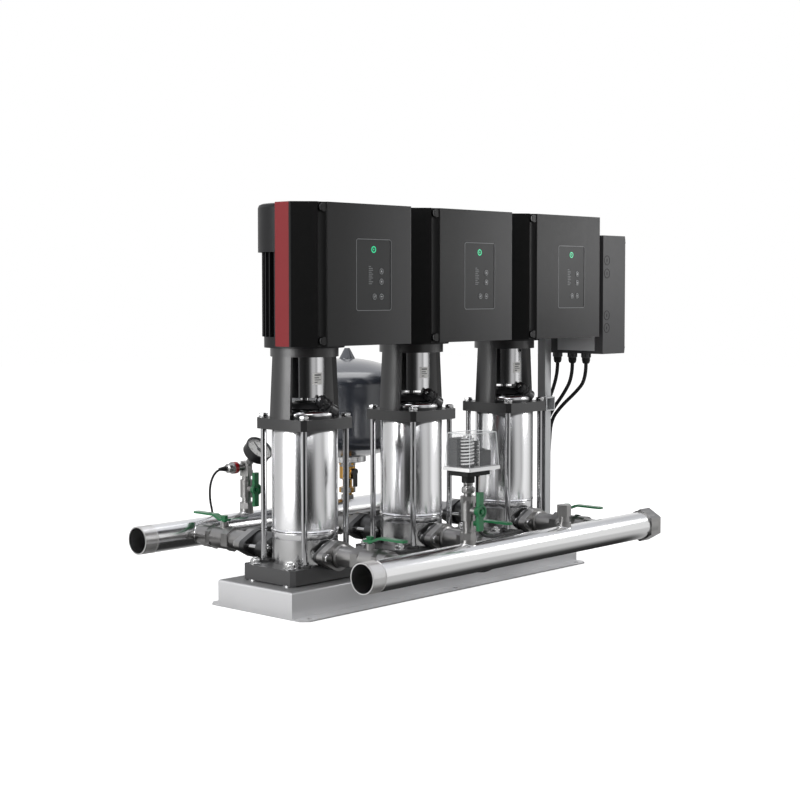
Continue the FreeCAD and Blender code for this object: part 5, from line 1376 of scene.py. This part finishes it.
@dataclass
class Fasteners(SubAssembly):
    """Staybolts, foot bolts with their shims, and flange bolts, which replace their plain solids.

    Attributes:
        deck: upper face of the base's deck.
        foot_bottom: underside of the pump feet.
        foot_top: upper face of their flanges.
        foot_bolts: place of the foot bolts, from the pump's axis.
        foot_head: where a foot bolt starts, under the deck.
        foot_bolt: radius, spanner and height of head of the foot bolts.
        stay: place of the staybolts, from the pump's axis.
        stay_low: where a staybolt leaves its boss.
        head_top: upper face of the head flange.
        flange_bolt_x: place of the flange bolts, from the port's axis.
        suction_bolt_y: where the bolts of the suction flanges start.
        discharge_bolt_y: where the bolts of the discharge flanges start.
        suction_bolt: radius, spanner, length, height of head and place of the nut of the first.
        discharge_bolt: the same of the second.
    """

    deck: float = 54.0
    foot_bottom: float = 56.5
    foot_top: float = 86.5
    foot_bolts: tuple[float, float] = (90.0, 50.0)
    foot_head: float = 43.0
    foot_bolt: tuple[float, float, float] = (6.0, 19.0, 8.0)
    stay: float = 58.6
    stay_low: float = 91.5
    head_top: float = 379.0
    flange_bolt_x: float = 37.5
    suction_bolt_y: float = -106.0
    discharge_bolt_y: float = 169.0
    suction_bolt: tuple[float, ...] = (5.0, 16.0, 42.5, 7.0, 31.5)
    discharge_bolt: tuple[float, ...] = (5.0, 16.0, 102.5, 7.0, 93.5)

    def build(self) -> None:
        """Makes all the fasteners."""
        self.stays()
        self.feet()
        self.flanges()

    def stays(self) -> None:
        """Makes the staybolts with their nuts and washers."""
        top = self.head_top
        stay = at_corners(disc(6.0, self.stay_low, top + 9, 32, 0.8), self.stay, self.stay)
        stays = self.shop.piece("staybolts", at_pumps(stay), Finish.DARK_STEEL, "zinc")
        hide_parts("fasteners")
        nuts = joined([nut(18, top + 1.3, top + 8, 15), ring(6.2, 10.6, top, top + 1.3, 32)])
        self.shop.piece("staybolt_nuts", at_pumps(at_corners(nuts, self.stay, self.stay)), Finish.ZINC)

    def feet(self) -> None:
        """Makes the foot bolts with their washers and the shims under the feet."""
        grip = self.foot_top - self.foot_head
        radius, spanner, head = self.foot_bolt
        foot = joined([bolt(radius, spanner, grip + 14, head, grip + 2).moved(z=self.foot_head),
                       ring(6.2, 12.0, self.foot_top, self.foot_top + 2, 36),
                       ring(6.5, 14.5, self.deck, self.foot_bottom, 36, 0.2)])
        self.shop.piece("foot_bolts", at_pumps(at_corners(foot, *self.foot_bolts)), Finish.ZINC)

    def flanges(self) -> None:
        """Makes the bolts of the oval flanges."""
        forms = []
        for x in (-self.flange_bolt_x, self.flange_bolt_x):
            forms.append(bolt(*self.suction_bolt).aimed((x, self.suction_bolt_y, AXIS_Z), (0, 1, 0)))
            forms.append(bolt(*self.discharge_bolt).aimed((x, self.discharge_bolt_y, AXIS_Z), (0, -1, 0)))
        self.shop.piece("flange_bolts", at_pumps(joined(forms)), Finish.ZINC)


@dataclass
class Sleeves(SubAssembly):
    """The polished outer sleeves with their rolled bead, which replace their plain solids.

    Attributes:
        outside: outer radius.
        bore: inner radius.
        low: lower end.
        high: upper end.
        bead: height of the bead's middle.
        bead_half: half its height.
        swell: how far it stands out.
        groove: depth of the fine groove on each side of it.
        ease: width of the eased ends.
    """

    outside: float = 67.0
    bore: float = 64.5
    low: float = 137.0
    high: float = 357.0
    bead: float = 153.5
    bead_half: float = 4.2
    swell: float = 1.7
    groove: float = 0.5
    ease: float = 0.8

    def build(self) -> None:
        """Makes the sleeves: the bead swells by a squared cosine, between two fine grooves."""
        t = np.linspace(-1, 1, 15)
        bulge = self.swell * np.cos(np.clip(t / 0.62, -1, 1) * math.pi / 2) ** 2
        bulge -= self.groove * (np.abs(np.abs(t) - 0.8) < 0.1)
        r, low, high = self.outside, self.low, self.high
        outline = [(self.bore, low), (r - 0.5, low), (r, low + self.ease)]
        outline += list(zip(r + bulge, self.bead + self.bead_half * t))
        outline += [(r, high - self.ease), (r - 0.5, high), (self.bore, high)]
        sleeves = self.shop.piece("rolled_sleeves", at_pumps(lathe(outline, 120, True)), Finish.POLISHED_STEEL)
        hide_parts("outer_sleeves")


@dataclass
class PumpHeads(SubAssembly):
    """The turned pump heads with their vent bosses, which replace their plain solids, and the guards' labels.

    Attributes:
        rim: radius of the spigot in the sleeve.
        neck: radius of the dome's foot.
        hub: radius of the seal hub.
        bore: radius of the shaft's bore.
        under: underside of the neck.
        top: height of the dome's foot.
        dome: rise of the dome.
        spigot: depth of the spigot.
        boss: outline of the vent boss, along its own axis.
        lip: outline of the bright steel shell round the dome's foot, which stands in for the highlight on the dark
            dome's curved foot.
        guard_radius: radius of the label on a coupling guard.
        label_heights: lower and upper end of the label.
        label_bars: heights of each bar on the label, with its first and last step round the label.
    """

    rim: float = 64.2
    neck: float = 61.5
    hub: float = 22.0
    bore: float = 11.0
    under: float = 357.0
    top: float = 384.0
    dome: float = 26.0
    spigot: float = 9.0
    boss: Profile = ((0, 0), (14.5, 0), (12.5, 9), (11.5, 25.2), (0, 25.2))
    lip: Profile = ((48.0, 384.2), (62.2, 384.2), (62.4, 387.5), (61.0, 390.5), (57.5, 393.8), (52.0, 397.0),
                    (48.0, 398.4))
    guard_radius: float = 42.25
    label_heights: tuple[float, float] = (446.0, 470.0)
    label_bars: tuple[tuple[float, float, int, int], ...] = ((464, 467, 2, 9), (459, 461, 2, 7), (455, 456.5, 2, 9),
                                                             (450, 452, 2, 5))

    def build(self) -> None:
        """Makes the heads: the dome falls from hub to neck along a quarter wave."""
        t = np.linspace(0, 1, 12)
        radius = self.neck + (self.hub - self.neck) * t
        height = self.top + self.dome * np.sin(t * math.pi / 2) ** 0.9
        foot, crown = self.under - self.spigot, self.top + self.dome + 3
        outline = [(self.bore, foot), (self.rim, foot), (self.rim, self.under), (self.neck, self.under)]
        outline += list(zip(radius, height)) + [(self.hub - 1, crown), (self.bore, crown)]
        boss = joined([lathe(self.boss, 40), nut(27, 17, 24)]).aimed(VENT_START, VENT_DIRECTION)
        heads = at_pumps(joined([lathe(outline, 72, True), boss]))
        thing = self.shop.piece("turned_heads", heads, Finish.HEAD_STEEL, "satin_steel")
        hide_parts("pump_heads")
        # A bright steel shell stands in for the highlight on the curved foot of the dark dome.
        self.shop.piece("head_highlight_lips", at_pumps(lathe(self.lip, 72)), Finish.GUARD_STEEL, "satin_steel")
        self.labels()

    def labels(self) -> None:
        """Makes a plain label on each coupling guard: a curved sheet with a few dark bars."""
        turn = np.radians(np.linspace(-112, -78, 12))
        sheet = self.curved(turn, self.guard_radius, *self.label_heights)
        bars = [self.curved(turn[first:last + 1], self.guard_radius + 0.12, low, high)
                for low, high, first, last in self.label_bars]
        self.shop.piece("guard_labels", at_pumps(sheet), Finish.DIAL_WHITE)
        self.shop.piece("guard_label_bars", at_pumps(joined(bars)), Finish.MARK_GREY, "key_grey")

    @staticmethod
    def curved(turn: np.ndarray, radius: float, low: float, high: float) -> Form:
        """Makes a thin curved plate: x = r cos a, y = r sin a, between two heights.

        Args:
            turn: angles along the plate.
            radius: its outer radius.
            low: lower edge.
            high: upper edge.

        Returns:
            The plate.
        """
        edges = ((radius - 0.1, low), (radius, low), (radius, high), (radius - 0.1, high))
        lines = [np.column_stack([r * np.cos(turn), r * np.sin(turn), np.full(len(turn), z)]) for r, z in edges]
        return capped(np.stack(lines, axis=1))


@dataclass
class PipeEnds(SubAssembly):
    """Threads of the open pipe ends and the weld beads of the manifolds.

    Attributes:
        start_x: where the threads start.
        crest: radius of their crests.
        pitch: their pitch.
        length: their length.
        depth: depth of their grooves.
        branch_radius: radius of a branch where it meets the manifold.
        branch_bead: radius of its weld bead, height of the bead's ripples and how many there are.
        boss_radius: radius of an instrument boss.
        boss_bead: the same of its weld bead.
        suction_bosses: places of the bosses on the suction manifold.
        discharge_bosses: places of the bosses on the discharge manifold.
    """

    start_x: float = -470.8
    crest: float = 30.1
    pitch: float = 2.31
    length: float = 33.0
    depth: float = 1.2
    branch_radius: float = 20.0
    branch_bead: tuple[float, float, int] = (1.5, 0.25, 24)
    boss_radius: float = 15.0
    boss_bead: tuple[float, float, int] = (1.3, 0.2, 20)
    suction_bosses: tuple[float, ...] = (-171.0, 143.0)
    discharge_bosses: tuple[float, ...] = (-163.0, 160.0)

    def build(self) -> None:
        """Makes threads and beads."""
        for name, y, side, bosses in (("suction", SUCTION_Y, 1, self.suction_bosses),
                                      ("discharge", DISCHARGE_Y, -1, self.discharge_bosses)):
            ridge = thread(self.crest, self.pitch, self.length, self.depth)
            self.shop.piece(f"{name}_thread", ridge.aimed((self.start_x, y, AXIS_Z), (1, 0, 0)), Finish.CUT_THREAD,
                            "satin_steel")
            beads = [self.bead(x, y, side) for x in ROW] + [self.top_bead(x, y) for x in bosses]
            self.shop.piece(f"{name}_weld_beads", joined(beads), Finish.SATIN_STEEL)

    def bead(self, x: float, y: float, side: int) -> Form:
        """Makes the weld bead of a branch: a tube along x = r cos t, z = r sin t on the manifold's surface.

        Args:
            x: place of the branch.
            y: axis of the manifold.
            side: 1 where the branch leaves along Y, -1 where it leaves against Y.

        Returns:
            The bead.
        """
        t = steps_round(48)
        dx, dz = self.branch_radius * np.cos(t), self.branch_radius * np.sin(t)
        dy = np.sqrt(PIPE_RADIUS ** 2 - dz ** 2)
        path = np.column_stack([x + dx, y + side * dy, AXIS_Z + dz])
        radius, ripple, count = self.branch_bead
        return tube(path, radius + ripple * np.sin(count * t), 8, True)

    def top_bead(self, x: float, y: float) -> Form:
        """Makes the weld bead of an instrument boss: a tube along x = r cos t, y = r sin t on top of the manifold.

        Args:
            x: place of the boss.
            y: axis of the manifold.

        Returns:
            The bead.
        """
        t = steps_round(48)
        dx, dy = self.boss_radius * np.cos(t), self.boss_radius * np.sin(t)
        dz = np.sqrt(PIPE_RADIUS ** 2 - dy ** 2)
        path = np.column_stack([x + dx, y + dy, AXIS_Z + dz])
        radius, ripple, count = self.boss_bead
        return tube(path, radius + ripple * np.sin(count * t), 8, True)


@dataclass
class Cords(SubAssembly):
    """The supply cables, the two sensor cables and their grommets.

    Attributes:
        glands_y: place of each gland under the enclosure.
        feet_y: place of each supply cable at the foot of the post.
        gland: place along X and height of the glands.
        foot: place along X and height of the cables' lower ends.
        supply_radius: radius of the supply cables.
        transmitter_radius: radius of the transmitter's cable.
        switch_radius: radius of the switch's cable.
        supply_routes: for each supply cable its sideways step, its share of the way to the post, and its fall.
        sways: how far the cables stray on the way down the post.
        sway_share: share of that which goes towards the post.
        fall_parts: into how many parts the way down the post falls.
        transmitter_route: control points from the transmitter to the rear skirt of the base.
        switch_route: control points from the switch to the front skirt of the base.
        boot: outline of the sleeve on the transmitter's cable.
        boot_place: where that sleeve sits.
        rear_grommet: grommet of the transmitter's cable in the rear skirt.
        front_grommet: grommet of the switch's cable in the front skirt.
        red_ring: place of the transmitter's ring.
    """

    glands_y: tuple[float, ...] = (-51.0, -94.0, -133.0)
    feet_y: tuple[float, ...] = (-7.0, -17.0, -27.0)
    gland: tuple[float, float] = (457.0, 466.0)
    foot: tuple[float, float] = (453.0, 66.0)
    supply_radius: float = 4.3
    transmitter_radius: float = 2.5
    switch_radius: float = 3.0
    supply_routes: tuple[tuple[Point, ...], ...] = (
        ((0, 0, 22), (0, 0.27, 62), (0, 0.66, 98), (-2, 0.966, 136), (-4, 1, 186)),
        ((0, 0, 35), (-3, 0.31, 76), (-5, 0.675, 110), (-5, 0.974, 150), (-4.5, 1, 204)),
        ((0, 0, 39), (2, 0.302, 71), (4.5, 0.689, 103), (4.5, 0.981, 138), (1, 1, 194)))
    sways: tuple[float, ...] = (2.0, 0.5, 2.0, 0.0)
    sway_share: float = 0.4
    fall_parts: float = 4.6
    transmitter_route: tuple[Point, ...] = (
        (-225, 352, 239.5), (-243, 352, 239.5), (-258, 352, 230.5), (-267, 353, 213), (-267.5, 356, 193),
        (-262, 361, 170), (-253, 366, 151), (-240, 378, 133), (-222, 387, 119), (-195, 388.5, 110),
        (-150, 389, 107), (-100, 388.5, 109), (-73, 388.5, 99), (-62, 388, 76), (-60, 388, 45), (-61, 383, 19),
        (-61, 364, 3.2), (-60, 330, 3), (-62, 285, 3.2), (-60, 240, 3), (-61, 200, 3.4), (-60, 166, 10),
        (-60, 137, 25), (-60, 110, 25))
    switch_route: tuple[Point, ...] = (
        (-136, -300, 268), (-136, -300, 240), (-138, -300, 208), (-136, -300, 180), (-130, -300.5, 156),
        (-110, -301, 142.2), (-70, -301.5, 141.2), (-25, -300, 141.4), (12, -293, 140.5), (38, -278, 132),
        (52, -257, 113), (58, -228, 85), (60, -196, 57), (61, -168, 37), (61, -139, 31), (61, -110, 31))
    boot: Profile = ((2.6, -16), (3.4, -16), (5.2, -2), (6.0, 0), (5.0, 1))
    boot_place: Point = (-227.0, 352.0, 239.5)
    rear_grommet: Point = (-60.0, 107.4, 25.0)
    front_grommet: Point = (61.0, -107.4, 31.0)
    red_ring: Point = (-194.0, 352.0, 239.5)

    def build(self) -> None:
        """Lays the five cords and makes their grommets and the transmitter's ring."""
        for index in range(len(self.glands_y)):
            self.lay(f"supply_cable_{index + 1}", self.supply_points(index), self.supply_radius)
        self.lay("transmitter_cable", self.transmitter_route, self.transmitter_radius)
        self.lay("switch_cable", self.switch_route, self.switch_radius)
        boots = [lathe(self.boot, 32).aimed(self.boot_place, (1, 0, 0)),
                 ring(2.7, 6.3, 0, 2.9, 32).aimed(self.rear_grommet, (0, 1, 0)),
                 ring(3.2, 6.3, 0, 2.9, 32).aimed(self.front_grommet, (0, -1, 0))]
        self.shop.piece("cable_grommets", joined(boots), Finish.RUBBER, "cable_black")
        red = ring(10.0, 13.4, 0, 11, 56, 1.0).aimed(self.red_ring, (-1, 0, 0))
        self.shop.piece("transmitter_ring", red, Finish.RING_RED, "band_red")

    def supply_points(self, index: int) -> list[Point]:
        """Returns the control points of one supply cable.

        Args:
            index: 0 for the cable nearest to the post.

        Returns:
            Points from the gland down to the foot of the post.
        """
        x, z = self.gland
        foot_x, foot_z = self.foot
        y, foot_y = self.glands_y[index], self.feet_y[index]
        points = [(x, y, z)]
        points += [(x + step, y + share * (foot_y - y), z - fall) for step, share, fall in self.supply_routes[index]]
        last = points[-1][2]
        points += [(foot_x + sway, foot_y + self.sway_share * sway, last - (last - foot_z) * i / self.fall_parts)
                   for i, sway in enumerate(self.sways, 1)]
        return points + [(foot_x, foot_y, foot_z)]

    def lay(self, node: str, points: Iterable[Point], radius: float) -> None:
        """Lays a cord along a smooth curve through its control points.

        Args:
            node: the solid that it replaces.
            points: the control points.
            radius: the cord's radius.
        """
        points = np.array(list(points), float) * MM
        curve = bpy.data.curves.new(f"{node}_lead", "CURVE")
        curve.dimensions = "3D"
        curve.bevel_depth = radius * MM
        curve.bevel_resolution = 5
        curve.resolution_u = 10
        curve.use_fill_caps = True
        spline = curve.splines.new("NURBS")
        spline.points.add(len(points) - 1)
        spline.points.foreach_set("co", np.column_stack([points, np.ones(len(points))]).ravel())
        spline.order_u = 3
        spline.use_endpoint_u = True
        curve.materials.append(self.shop.finisher.material(Finish.CABLE_BLACK))
        thing = bpy.data.objects.new(f"{node}_lead", curve)
        bpy.context.scene.collection.objects.link(thing)
        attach(thing, "root")
        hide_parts(node)
        length = self.measured(thing)
        log.info("%s: %.0f mm", node, length / MM)
        self.shop.made.append(thing)

    @staticmethod
    def measured(thing: bpy.types.Object) -> float:
        """Measures a curve's centre line on a copy without its thickness.

        Args:
            thing: the cord.

        Returns:
            The length in metres: the sum of the steps between neighbouring points.
        """
        curve = thing.data.copy()
        curve.bevel_depth = 0
        curve.use_fill_caps = False
        line = bpy.data.objects.new("measuring_line", curve)
        bpy.context.scene.collection.objects.link(line)
        mesh = bpy.data.meshes.new_from_object(line.evaluated_get(bpy.context.evaluated_depsgraph_get()))
        points = np.empty(len(mesh.vertices) * 3)
        mesh.vertices.foreach_get("co", points)
        bpy.data.objects.remove(line)
        bpy.data.meshes.remove(mesh)
        bpy.data.curves.remove(curve)
        return float(np.linalg.norm(np.diff(points.reshape(-1, 3), axis=0), axis=1).sum())


@dataclass(frozen=True)
class Lamp:
    """A soft square lamp that looks at the object.

    Attributes:
        name: its name.
        place: where it hangs, in metres.
        size: its side, in metres.
        power: in watts.
    """

    name: str
    place: Point
    size: float
    power: float


@dataclass
class Studio:
    """Floor, lights, backdrop and camera, in metres.

    Attributes:
        focal: focal length of the camera, in millimetres.
        sensor: width of its sensor, in millimetres.
        sight: how far it sees.
        shift: shift of its picture.
        place: where it stands.
        ahead: where it looks.
        aim: the point that the lamps look at.
        lamps: the lamps.
        floor_half: half the side of the floor.
        floor_z: its height, just under the object.
        floor_grey: its colour under the lamps.
        floor_lift: light that it gives to the camera only.
        painted_floor_shadow: brightness of the floor in the polished metal under the object, a painted shadow.
        near_floor: the same beside the object.
        object_half: half the width and depth of the painted shadow on the floor in the polished metal.
        near_edge: width of the ramp round it.
        far: where the floor in the metal turns into the bands of the room.
        plain_light: light of the backdrop on matt surfaces.
        sky: colour of the upper backdrop in the polished metal.
        sky_ramp: heights between which that colour sets in.
        gloss_stops: bands of light and dark round the room, from the left over the front to the right and back.
    """

    focal: float = 71.35
    sensor: float = 36.0
    sight: float = 60.0
    shift: tuple[float, float] = (-0.0092, -0.0362)
    place: Point = (-2.5390, -2.3040, 0.63425)
    ahead: Point = (0.7379, 0.6729, -0.0508)
    aim: Point = (0.0, 0.0, 0.4)
    lamps: tuple[Lamp, ...] = (
        Lamp("key", (-3.1, 0.45, 1.15), 1.7, 58.0), Lamp("fill", (1.12, -0.84, 0.78), 0.4, 2.6),
        Lamp("front", (-1.6, -2.6, 2.6), 1.6, 22.0), Lamp("top", (0.2, 0.3, 3.2), 2.4, 40.0))
    floor_half: float = 9.0
    floor_z: float = -0.0006
    floor_grey: float = 0.60
    floor_lift: float = 0.80
    painted_floor_shadow: float = 0.03
    near_floor: float = 0.60
    object_half: tuple[float, float] = (0.46, 0.33)
    near_edge: float = 0.13
    far: tuple[float, float] = (0.9, 1.5)
    plain_light: float = 0.50
    sky: tuple[float, float, float] = (0.80, 0.81, 0.85)
    sky_ramp: tuple[float, float] = (0.25, 0.75)
    gloss_stops: Stops = (
        (0.0, 1.0), (0.018, 0.8), (0.037, 0.26), (0.051, 0.03), (0.134, 0.012), (0.190, 0.035), (0.222, 0.24),
        (0.237, 0.50), (0.251, 0.60), (0.284, 0.62), (0.300, 0.52), (0.318, 0.40), (0.340, 0.85), (0.354, 1.0),
        (0.393, 0.92), (0.443, 0.68), (0.473, 0.33), (0.507, 0.15), (0.545, 0.3), (0.58, 0.9), (0.66, 0.9),
        (0.70, 0.7), (0.737, 0.62), (0.80, 0.60), (0.848, 0.60), (0.887, 0.70), (0.903, 0.9), (0.923, 1.0))

    def build(self) -> None:
        """Sets the whole studio up."""
        self.floor()
        self.world()
        self.lights()
        self.camera()

    def bands(self, n: Nodes, vector: Socket) -> Socket:
        """Adds the bright and dark bands that stand round the object for its polished metal to show.

        Args:
            n: the node tree.
            vector: a direction, or a place on the floor.

        Returns:
            The colour of the band at that compass angle.
        """
        axes = n.split(vector)
        angle = n.math("ARCTAN2", axes["Y"], axes["X"])
        return n.banded(n.rise(angle, -math.pi, math.pi), self.gloss_stops)

    def beside(self, n: Nodes, vector: Socket) -> Socket:
        """Adds the mask of the painted shadow in the floor's reflection: a ramp from 0 under the object to 1 beside it,
        the larger of |x| and |y| past its half sizes.

        Args:
            n: the node tree.
            vector: a place on the floor.

        Returns:
            The ramp's value.
        """
        size = n.add("ShaderNodeVectorMath", operation="ABSOLUTE")
        n.link(vector, size.inputs[0])
        axes = n.split(size.outputs[0])
        over = [n.math("SUBTRACT", axes[name], half) for name, half in zip("XY", self.object_half)]
        return n.rise(n.math("MAXIMUM", *over), 0.0, self.near_edge, True)

    def floor(self) -> None:
        """Makes the pale floor, which keeps the object's shadow; in the polished metal it shows a painted shadow under
        the object.
        """
        mesh = bpy.data.meshes.new("floor")
        s, z = self.floor_half, self.floor_z
        mesh.from_pydata([(-s, -s, z), (s, -s, z), (s, s, z), (-s, s, z)], [], [(0, 1, 2, 3)])
        material = bpy.data.materials.new("floor_white")
        material.use_nodes = True
        n = Nodes(material.node_tree)
        rays = n.add("ShaderNodeLightPath")
        matt = n.add("ShaderNodeBsdfDiffuse", Color=shaded((self.floor_grey,) * 3))
        lift = n.add("ShaderNodeEmission")
        n.link(n.math("MULTIPLY", rays.outputs["Is Camera Ray"], self.floor_lift), lift.inputs["Strength"])
        both = n.add("ShaderNodeAddShader")
        n.link(matt.outputs[0], both.inputs[0])
        n.link(lift.outputs[0], both.inputs[1])
        place = n.add("ShaderNodeTexCoord").outputs["Object"]
        reach = n.add("ShaderNodeVectorMath", operation="LENGTH")
        n.link(place, reach.inputs[0])
        # Painted shadow: the floor seen in the metal is darker under the object.
        near = n.mixed(self.beside(n, place), shaded((self.painted_floor_shadow,) * 3), shaded((self.near_floor,) * 3))
        mirrored = n.add("ShaderNodeEmission")
        n.link(n.mixed(n.rise(reach.outputs["Value"], *self.far, True), near, self.bands(n, place)),
               mirrored.inputs["Color"])
        final = n.either(rays.outputs["Is Glossy Ray"], both, mirrored)
        n.link(final.outputs[0], n.add("ShaderNodeOutputMaterial").inputs["Surface"])
        mesh.materials.append(material)
        thing = bpy.data.objects.new("floor", mesh)
        bpy.context.scene.collection.objects.link(thing)

    def world(self) -> None:
        """Makes a white backdrop, with bright and dark bands round the room for the polished metal."""
        world = bpy.data.worlds.new("studio")
        bpy.context.scene.world = world
        world.use_nodes = True
        n = Nodes(world.node_tree)
        place = n.add("ShaderNodeTexCoord").outputs["Generated"]
        height = n.rise(n.split(place)["Z"], *self.sky_ramp, True)
        glossy = n.add("ShaderNodeBackground")
        n.link(n.mixed(height, self.bands(n, place), shaded(self.sky)), glossy.inputs["Color"])
        plain = n.add("ShaderNodeBackground", Color=WHITE, Strength=self.plain_light)
        white = n.add("ShaderNodeBackground", Color=WHITE)
        rays = n.add("ShaderNodeLightPath")
        lit = n.either(rays.outputs["Is Glossy Ray"], plain, glossy)
        seen = n.math("MAXIMUM", rays.outputs["Is Camera Ray"], rays.outputs["Is Transmission Ray"])
        final = n.either(seen, lit, white)
        n.link(final.outputs[0], n.add("ShaderNodeOutputWorld").inputs["Surface"])

    def lights(self) -> None:
        """Makes the soft lamps."""
        for lamp in self.lamps:
            data = bpy.data.lights.new(lamp.name, "AREA")
            data.size = lamp.size
            data.energy = lamp.power
            thing = bpy.data.objects.new(lamp.name, data)
            bpy.context.scene.collection.objects.link(thing)
            thing.location = lamp.place
            thing.rotation_euler = (Vector(self.aim) - Vector(lamp.place)).to_track_quat("-Z", "Y").to_euler()

    def camera(self) -> None:
        """Makes the camera at the photograph's place."""
        data = bpy.data.cameras.new("camera")
        data.lens = self.focal
        data.sensor_width = self.sensor
        data.shift_x, data.shift_y = self.shift
        data.clip_end = self.sight
        thing = bpy.data.objects.new("camera", data)
        bpy.context.scene.collection.objects.link(thing)
        thing.location = self.place
        thing.rotation_euler = Vector(self.ahead).to_track_quat("-Z", "Y").to_euler()
        bpy.context.scene.camera = thing
        bpy.context.scene.view_settings.view_transform = "Standard"


SUB_ASSEMBLIES = (DrivePanels, PressureGauge, DryRunSwitch, VentPlugs, TankValve, CowlGrilles, EnclosureDetails,
                  Fasteners, Sleeves, PumpHeads, PipeEnds, Cords)


def main() -> None:
    """Dresses the frame, builds each sub-assembly in order and reports its pieces, and sets the studio up."""
    logging.basicConfig(level=logging.INFO, format="%(name)s: %(message)s")
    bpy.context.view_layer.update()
    finisher = Finisher()
    shop = Workshop(finisher)
    FrameFinishes(finisher).dress()
    for kind in SUB_ASSEMBLIES:
        done = len(shop.made)
        kind(shop).build()
        for thing in shop.made[done:]:
            log.info("%s made %s", kind.__name__, thing.name)
    Studio().build()
    log.info("%d pieces made", len(shop.made))


if __name__ == "__main__":
    main()
